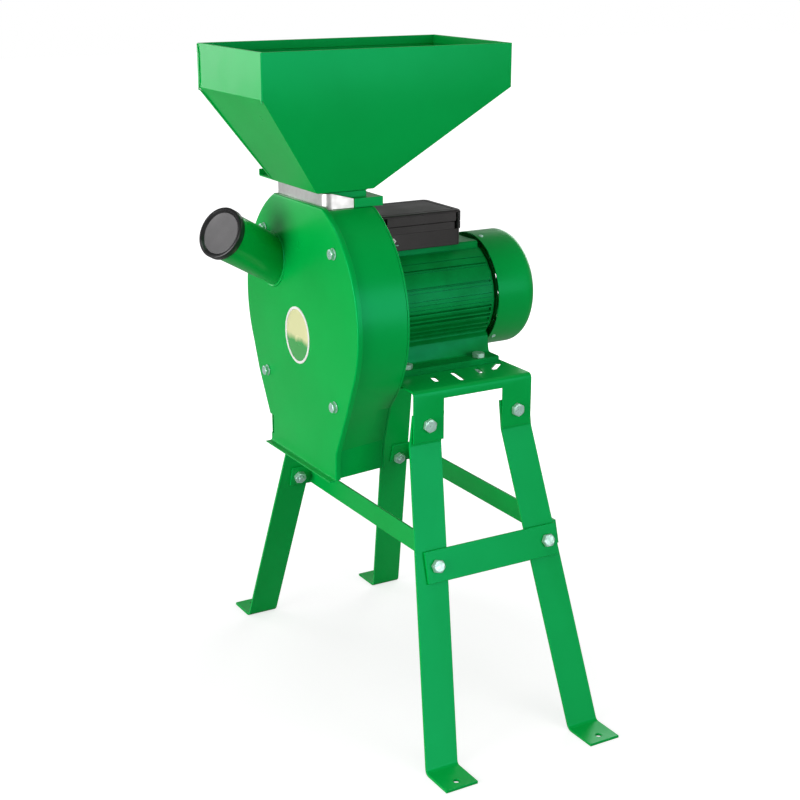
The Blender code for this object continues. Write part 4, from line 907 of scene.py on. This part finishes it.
def notched_box(x0, x1, y0, y1, notch, z, depth=0.0052):
    """Ring of a rectangle whose four corners step in, with as many points as a rounded one."""
    n, d, soft = notch, depth, 0.0007
    away = np.array([(0, d + soft), (soft, d), (n * 0.5, d), (n - soft, d), (n, d - soft), (n, soft), (n + soft, 0)])
    corners = [((x1, y1), (-1, -1), False), ((x0, y1), (1, -1), True), ((x0, y0), (1, 1), False),
               ((x1, y0), (-1, 1), True)]
    rings = []
    for corner, way, back in corners:
        points = np.array(corner) + (away[::-1] if back else away) * way
        rings.append(np.concatenate([points, np.full((len(points), 1), z)], axis=1))
    return np.concatenate(rings)


# ---------------------------------------------------------------- inlet
def inlet_line():
    """Axis of the inlet, its start on the cover's face, and the radius and length that its node has."""
    axis = np.array(JOINTS["plug_pull"]["axis"], float)
    axis /= np.linalg.norm(axis)
    points = node_points("inlet_tube")
    end = (points @ axis).max()
    rim = points[points @ axis > end - 1e-4]
    centre = rim.mean(0)
    radius = np.linalg.norm(rim - centre, axis=1).max()
    centre = centre + (end - centre @ axis) * axis
    length = (centre[0] - COVER_FACE) / axis[0]
    return axis, centre - length * axis, radius, length


class MILL_OT_inlet(Operator):
    """Builds the inlet tube, its weld and the plug in its end."""

    bl_idname = "mill.inlet"
    bl_label = "Inlet and plug"

    def execute(self, context):
        sizes = context.scene.mill_sizes
        axis, origin, radius, length = inlet_line()
        axis, side, up = basis(axis)
        turns, wall = sizes.turns, 0.002
        angle = around(turns)
        reach = np.cos(angle)[:, None] * side + np.sin(angle)[:, None] * up

        def foot(r):
            return (COVER_FACE - 0.0003 - (origin + r * reach)[:, 0]) / axis[0]

        share = np.linspace(0, 1, 12)[:, None]
        inner = radius - wall
        outer_at, inner_at = foot(radius), foot(inner)
        outer = outer_at + (length - outer_at) * share
        inside = inner_at + (length - inner_at) * share
        along = np.concatenate([outer[:-1], outer[-1:] - 0.0003, outer[-1:], inside[::-1], outer[:1]])
        spread = np.concatenate([np.full(12, radius), [radius - 0.0004], np.full(12, inner), [radius]])
        points = origin + along[..., None] * axis + spread[:, None, None] * reach
        piece("inlet_pipe", [sheet(points, closed=True)], *COAT, ("inlet_tube",))
        ripple = 1 + 0.12 * np.cos(angle * 46)
        track = origin + (outer_at[:, None] * axis) + radius * reach
        spine = (track, reach * ripple[:, None], np.array([-1.0, 0, 0]) * ripple[:, None])
        piece("inlet_weld", [carried(spine, polar(sizes.bead, around(12)) * (1.15, 0.9))], *COAT)
        end = origin + length * axis
        over, rim = radius + 0.003, 0.0035
        profile = [
            (-0.0115, 0.0), (-0.012, inner - 0.004), (-0.012, inner - 0.0012), (-0.0110, inner - 0.0006),
            (0.0003, inner - 0.0006), (0.0003, radius + 0.0006), (-0.0070, radius + 0.0006), (-0.0070, over - 0.0005),
            (-0.0062, over), (rim - 0.0016, over), (rim - 0.0005, over - 0.0005), (rim, over - 0.0016),
            (rim, over - 0.0034), (rim - 0.0006, over - 0.0042), (0.0002, over - 0.0058), (-0.0006, over - 0.0066),
            (-0.0010, over - 0.0075), (-0.0010, 0.0)]
        piece("plug_rim", [turned(profile, end, axis, turns)], "Plug rim", "plug", "plug_plastic", ("tube_plug",))
        face = [(-0.0012, 0.0), (-0.0012, over - 0.0070), (-0.0002, over - 0.0068), (0.0004, over - 0.0076),
                (-0.0001, over - 0.0088), (-0.0003, 0.012), (-0.0003, 0.0)]
        piece("plug_face", [turned(face, end, axis, turns)], "Plug face", "plug", "plug_plastic")
        return {"FINISHED"}


# ---------------------------------------------------------------- sheet details
def strip(start, end, across, out, width, thickness, taper=0.012):
    """Folded lip: a strip from start to end, whose width grows from nothing over the taper at both ends."""
    start, end, across, out = (np.asarray(v, float) for v in (start, end, across, out))
    step = taper / np.linalg.norm(end - start)
    share = np.array([0.0, step * 0.5, step, 0.5, 1 - step, 1 - step * 0.5, 1.0])
    wide = width * np.array([0.02, 0.6, 1.0, 1.0, 1.0, 0.6, 0.02])
    line = start + share[:, None] * (end - start)
    base = np.stack([line, line + wide[:, None] * across], axis=1)
    rings = np.concatenate([base, (base + thickness * out)[:, ::-1]], axis=1)
    return loft(rings)


COLLAR = 0.0585  # height of the hopper's upright collar


class MILL_OT_hopper_lips(Operator):
    """Adds the folded corner lips to the hopper."""

    bl_idname = "mill.hopper_lips"
    bl_label = "Hopper lips"

    def execute(self, context):
        width, proud = context.scene.mill_sizes.lip_width, 0.0013
        x0, half, top, base_z = HOPPER_LOW.x, HOPPER_HIGH.y, HOPPER_HIGH.z, HOPPER_LOW.z
        base_x, base_half, collar = COVER_FACE - 0.004, 0.067, top - COLLAR
        sloped = np.array((base_z - collar, 0.0, -(base_x - x0)))
        sloped = sloped / np.linalg.norm(sloped)
        inset = 0.0006
        parts = [strip((x0, half - inset, collar - 0.001), (base_x, base_half - inset, base_z + 0.001),
                       (0.0, -1.0, 0.0), sloped if sloped[0] < 0 else -sloped, width * 0.5, proud)]
        for y_side, part in ((-1, 0.75), (1, 0.5)):
            edge = np.array((x0 - 0.00002, y_side * (half - 0.0005), 0.0))
            parts.append(strip(edge + (0, 0, top - 0.001), edge + (0, 0, collar - 0.004), (0.0, -y_side, 0.0),
                               (-1.0, 0.0, 0.0), width * part, proud))
        piece("hopper_lips", parts, *COAT)
        return {"FINISHED"}


BADGE_MIDDLE = (0.005, -0.0355)  # sideways, and over the shaft


class MILL_OT_badge(Operator):
    """Adds the plain oval badge: a white raised rim round a two-tone field."""

    bl_idname = "mill.badge"
    bl_label = "Badge"

    def execute(self, context):
        sizes = context.scene.mill_sizes
        middle = np.array((COVER_FACE, *BADGE_MIDDLE)) + (0.0, 0.0, AXIS_Z)
        turns = sizes.turns
        angle = around(turns)

        def oval(profile):
            rise, inset = np.array(profile).T
            y = (sizes.badge_width / 2 - inset)[:, None] * np.cos(angle)
            z = (sizes.badge_height / 2 - inset)[:, None] * np.sin(angle)
            x = -rise[:, None] * np.ones(turns)
            return loft(middle + np.stack([x, y, z], axis=-1))

        rim = oval([(0.00005, 0.0), (0.0008, 0.0), (0.0011, 0.0004), (0.0011, 0.0034), (0.0008, 0.0038),
                    (0.0003, 0.0038), (0.00005, 0.0038)])
        last = len(rim[0]) - turns
        joined = [[last + k, last + (k + 1) % turns, (k + 1) % turns, k] for k in range(turns)]
        piece("badge_rim", [(rim[0], rim[1][:-2] + joined)], *WHITE)
        field = oval([(0.00005, 0.0040), (0.0005, 0.0040), (0.0006, 0.0046), (0.0008, 0.012)])
        piece("badge_field", [field], "Badge field", "machine", "white_plastic")
        return {"FINISHED"}


# ---------------------------------------------------------------- studio
CAMERA_PLACE = (-1.0009, -1.7946, 1.0864)
CAMERA_TURN = (radians(-30.36), radians(90 - 17.35), radians(0.13))
LENS = 66.8
WALL_LIGHT, CEILING_LIGHT = 0.52, 0.22
MIDDLE = (0.0, 0.0, 0.55)
REACH = 12.0  # half width of the floor
# Name, place, what it faces, size and power of each soft panel.
LAMPS = [
    ("left_panel", (-2.3, -0.35, 0.75), MIDDLE, 1.7, 46),
    ("front_panel", (0.9, -2.7, 1.0), MIDDLE, 1.8, 24),
    ("rear_panel", (2.0, 1.3, 1.1), MIDDLE, 1.4, 14),
    ("top_panel", (-0.3, -0.2, 3.0), MIDDLE, 1.2, 14),
    ("far_panel", (-1.25, 2.3, 1.0), (-0.15, 0.0, 0.9), 1.0, 6.5),
]


def area_light(name, place, target, size, power):
    """Round soft panel that faces a target."""
    lamp = bpy.data.lights.new(name, "AREA")
    lamp.shape, lamp.size, lamp.energy = "DISK", size, power
    made = bpy.data.objects.new(name, lamp)
    made.location = place
    made.rotation_euler = (Vector(target) - Vector(place)).to_track_quat("-Z", "Y").to_euler()
    bpy.context.scene.collection.objects.link(made)


class MILL_OT_studio(Operator):
    """Sets the pale floor, soft lights, light surroundings and camera."""

    bl_idname = "mill.studio"
    bl_label = "Studio"

    def execute(self, context):
        scene = context.scene
        mesh = bpy.data.meshes.new("studio_floor")
        mesh.from_pydata([(-REACH, -REACH, 0), (REACH, -REACH, 0), (REACH, REACH, 0), (-REACH, REACH, 0)], [],
                         [(0, 1, 2, 3)])
        mesh.materials.append(bpy.data.materials["Studio floor"])
        self.floor_glow(bpy.data.materials["Studio floor"].node_tree)
        floor = bpy.data.objects.new("studio_floor", mesh)
        scene.collection.objects.link(floor)
        scene.world = bpy.data.worlds.new("Studio")
        self.surroundings(scene.world)
        for lamp in LAMPS:
            area_light(*lamp)
        view = bpy.data.cameras.new("camera")
        view.sensor_width, view.lens = 36.0, LENS
        view.clip_start, view.clip_end = 0.05, 100.0
        camera = bpy.data.objects.new("camera", view)
        yaw, pitch, roll = CAMERA_TURN
        camera.matrix_world = (Matrix.Translation(CAMERA_PLACE) @ Matrix.Rotation(yaw, 4, "Z")
                               @ Matrix.Rotation(pitch, 4, "X") @ Matrix.Rotation(roll, 4, "Z"))
        scene.collection.objects.link(camera)
        scene.camera = camera
        scene.view_settings.view_transform = "Standard"
        return {"FINISHED"}

    def floor_glow(self, paper):
        """Lifts the floor to white for the camera alone, more so far away, so that only soft shadows stay."""
        place = add(paper, "ShaderNodeTexCoord").outputs["Object"]
        away = add(paper, "ShaderNodeVectorMath", {0: place}, operation="LENGTH").outputs["Value"]
        seen = add(paper, "ShaderNodeLightPath").outputs["Is Camera Ray"]
        shader = paper.nodes["Principled BSDF"]
        glow = mixed(paper, seen, (0, 0, 0, 1), ranged(paper, away, 0.3, 1.5, 0.70, 1.1))
        paper.links.new(glow, shader.inputs["Emission Color"])
        shader.inputs["Emission Strength"].default_value = 1.0

    def surroundings(self, world):
        """White for the camera; for all else, light that fades from the walls up to the ceiling."""
        world.use_nodes = True
        tree = world.node_tree
        lit = tree.nodes["Background"]
        seen = add(tree, "ShaderNodeBackground", {"Color": (1, 1, 1, 1), "Strength": 1.0})
        way = add(tree, "ShaderNodeSeparateXYZ", {0: add(tree, "ShaderNodeTexCoord").outputs["Generated"]})
        lit.inputs["Color"].default_value = (1.0, 1.0, 1.0, 1.0)
        tree.links.new(ranged(tree, way.outputs["Z"], 0.0, 0.7, WALL_LIGHT, CEILING_LIGHT), lit.inputs["Strength"])
        path = add(tree, "ShaderNodeLightPath").outputs["Is Camera Ray"]
        both = add(tree, "ShaderNodeMixShader", {0: path, 1: lit.outputs[0], 2: seen.outputs[0]})
        tree.links.new(both.outputs[0], tree.nodes["World Output"].inputs["Surface"])


# ---------------------------------------------------------------- add-on
STEPS = (MILL_OT_finishes, MILL_OT_fasteners, MILL_OT_motor_body, MILL_OT_fan_cowl, MILL_OT_casing,
         MILL_OT_terminal_box, MILL_OT_inlet, MILL_OT_hopper_lips, MILL_OT_badge, MILL_OT_studio)


class MILL_PT_panel(Panel):
    """Lists the steps and what may be changed."""

    bl_label = "Hammer mill"
    bl_idname = "MILL_PT_panel"
    bl_space_type = "VIEW_3D"
    bl_region_type = "UI"
    bl_category = "Mill"

    def draw(self, context):
        layout = self.layout
        for settings in (context.scene.mill_sizes, context.scene.mill_colours):
            for key in settings.__annotations__:
                layout.prop(settings, key)
        for step in STEPS:
            layout.operator(step.bl_idname)


CLASSES = (MillSizes, MillColours, *STEPS, MILL_PT_panel)


def register():
    for item in CLASSES:
        bpy.utils.register_class(item)
    bpy.types.Scene.mill_sizes = PointerProperty(type=MillSizes)
    bpy.types.Scene.mill_colours = PointerProperty(type=MillColours)


def unregister():
    del bpy.types.Scene.mill_sizes, bpy.types.Scene.mill_colours
    for item in reversed(CLASSES):
        bpy.utils.unregister_class(item)


def main():
    register()
    for step in STEPS:
        group, name = step.bl_idname.split(".")
        getattr(getattr(bpy.ops, group), name)()
    bpy.context.view_layer.update()


if __name__ == "__main__":
    main()
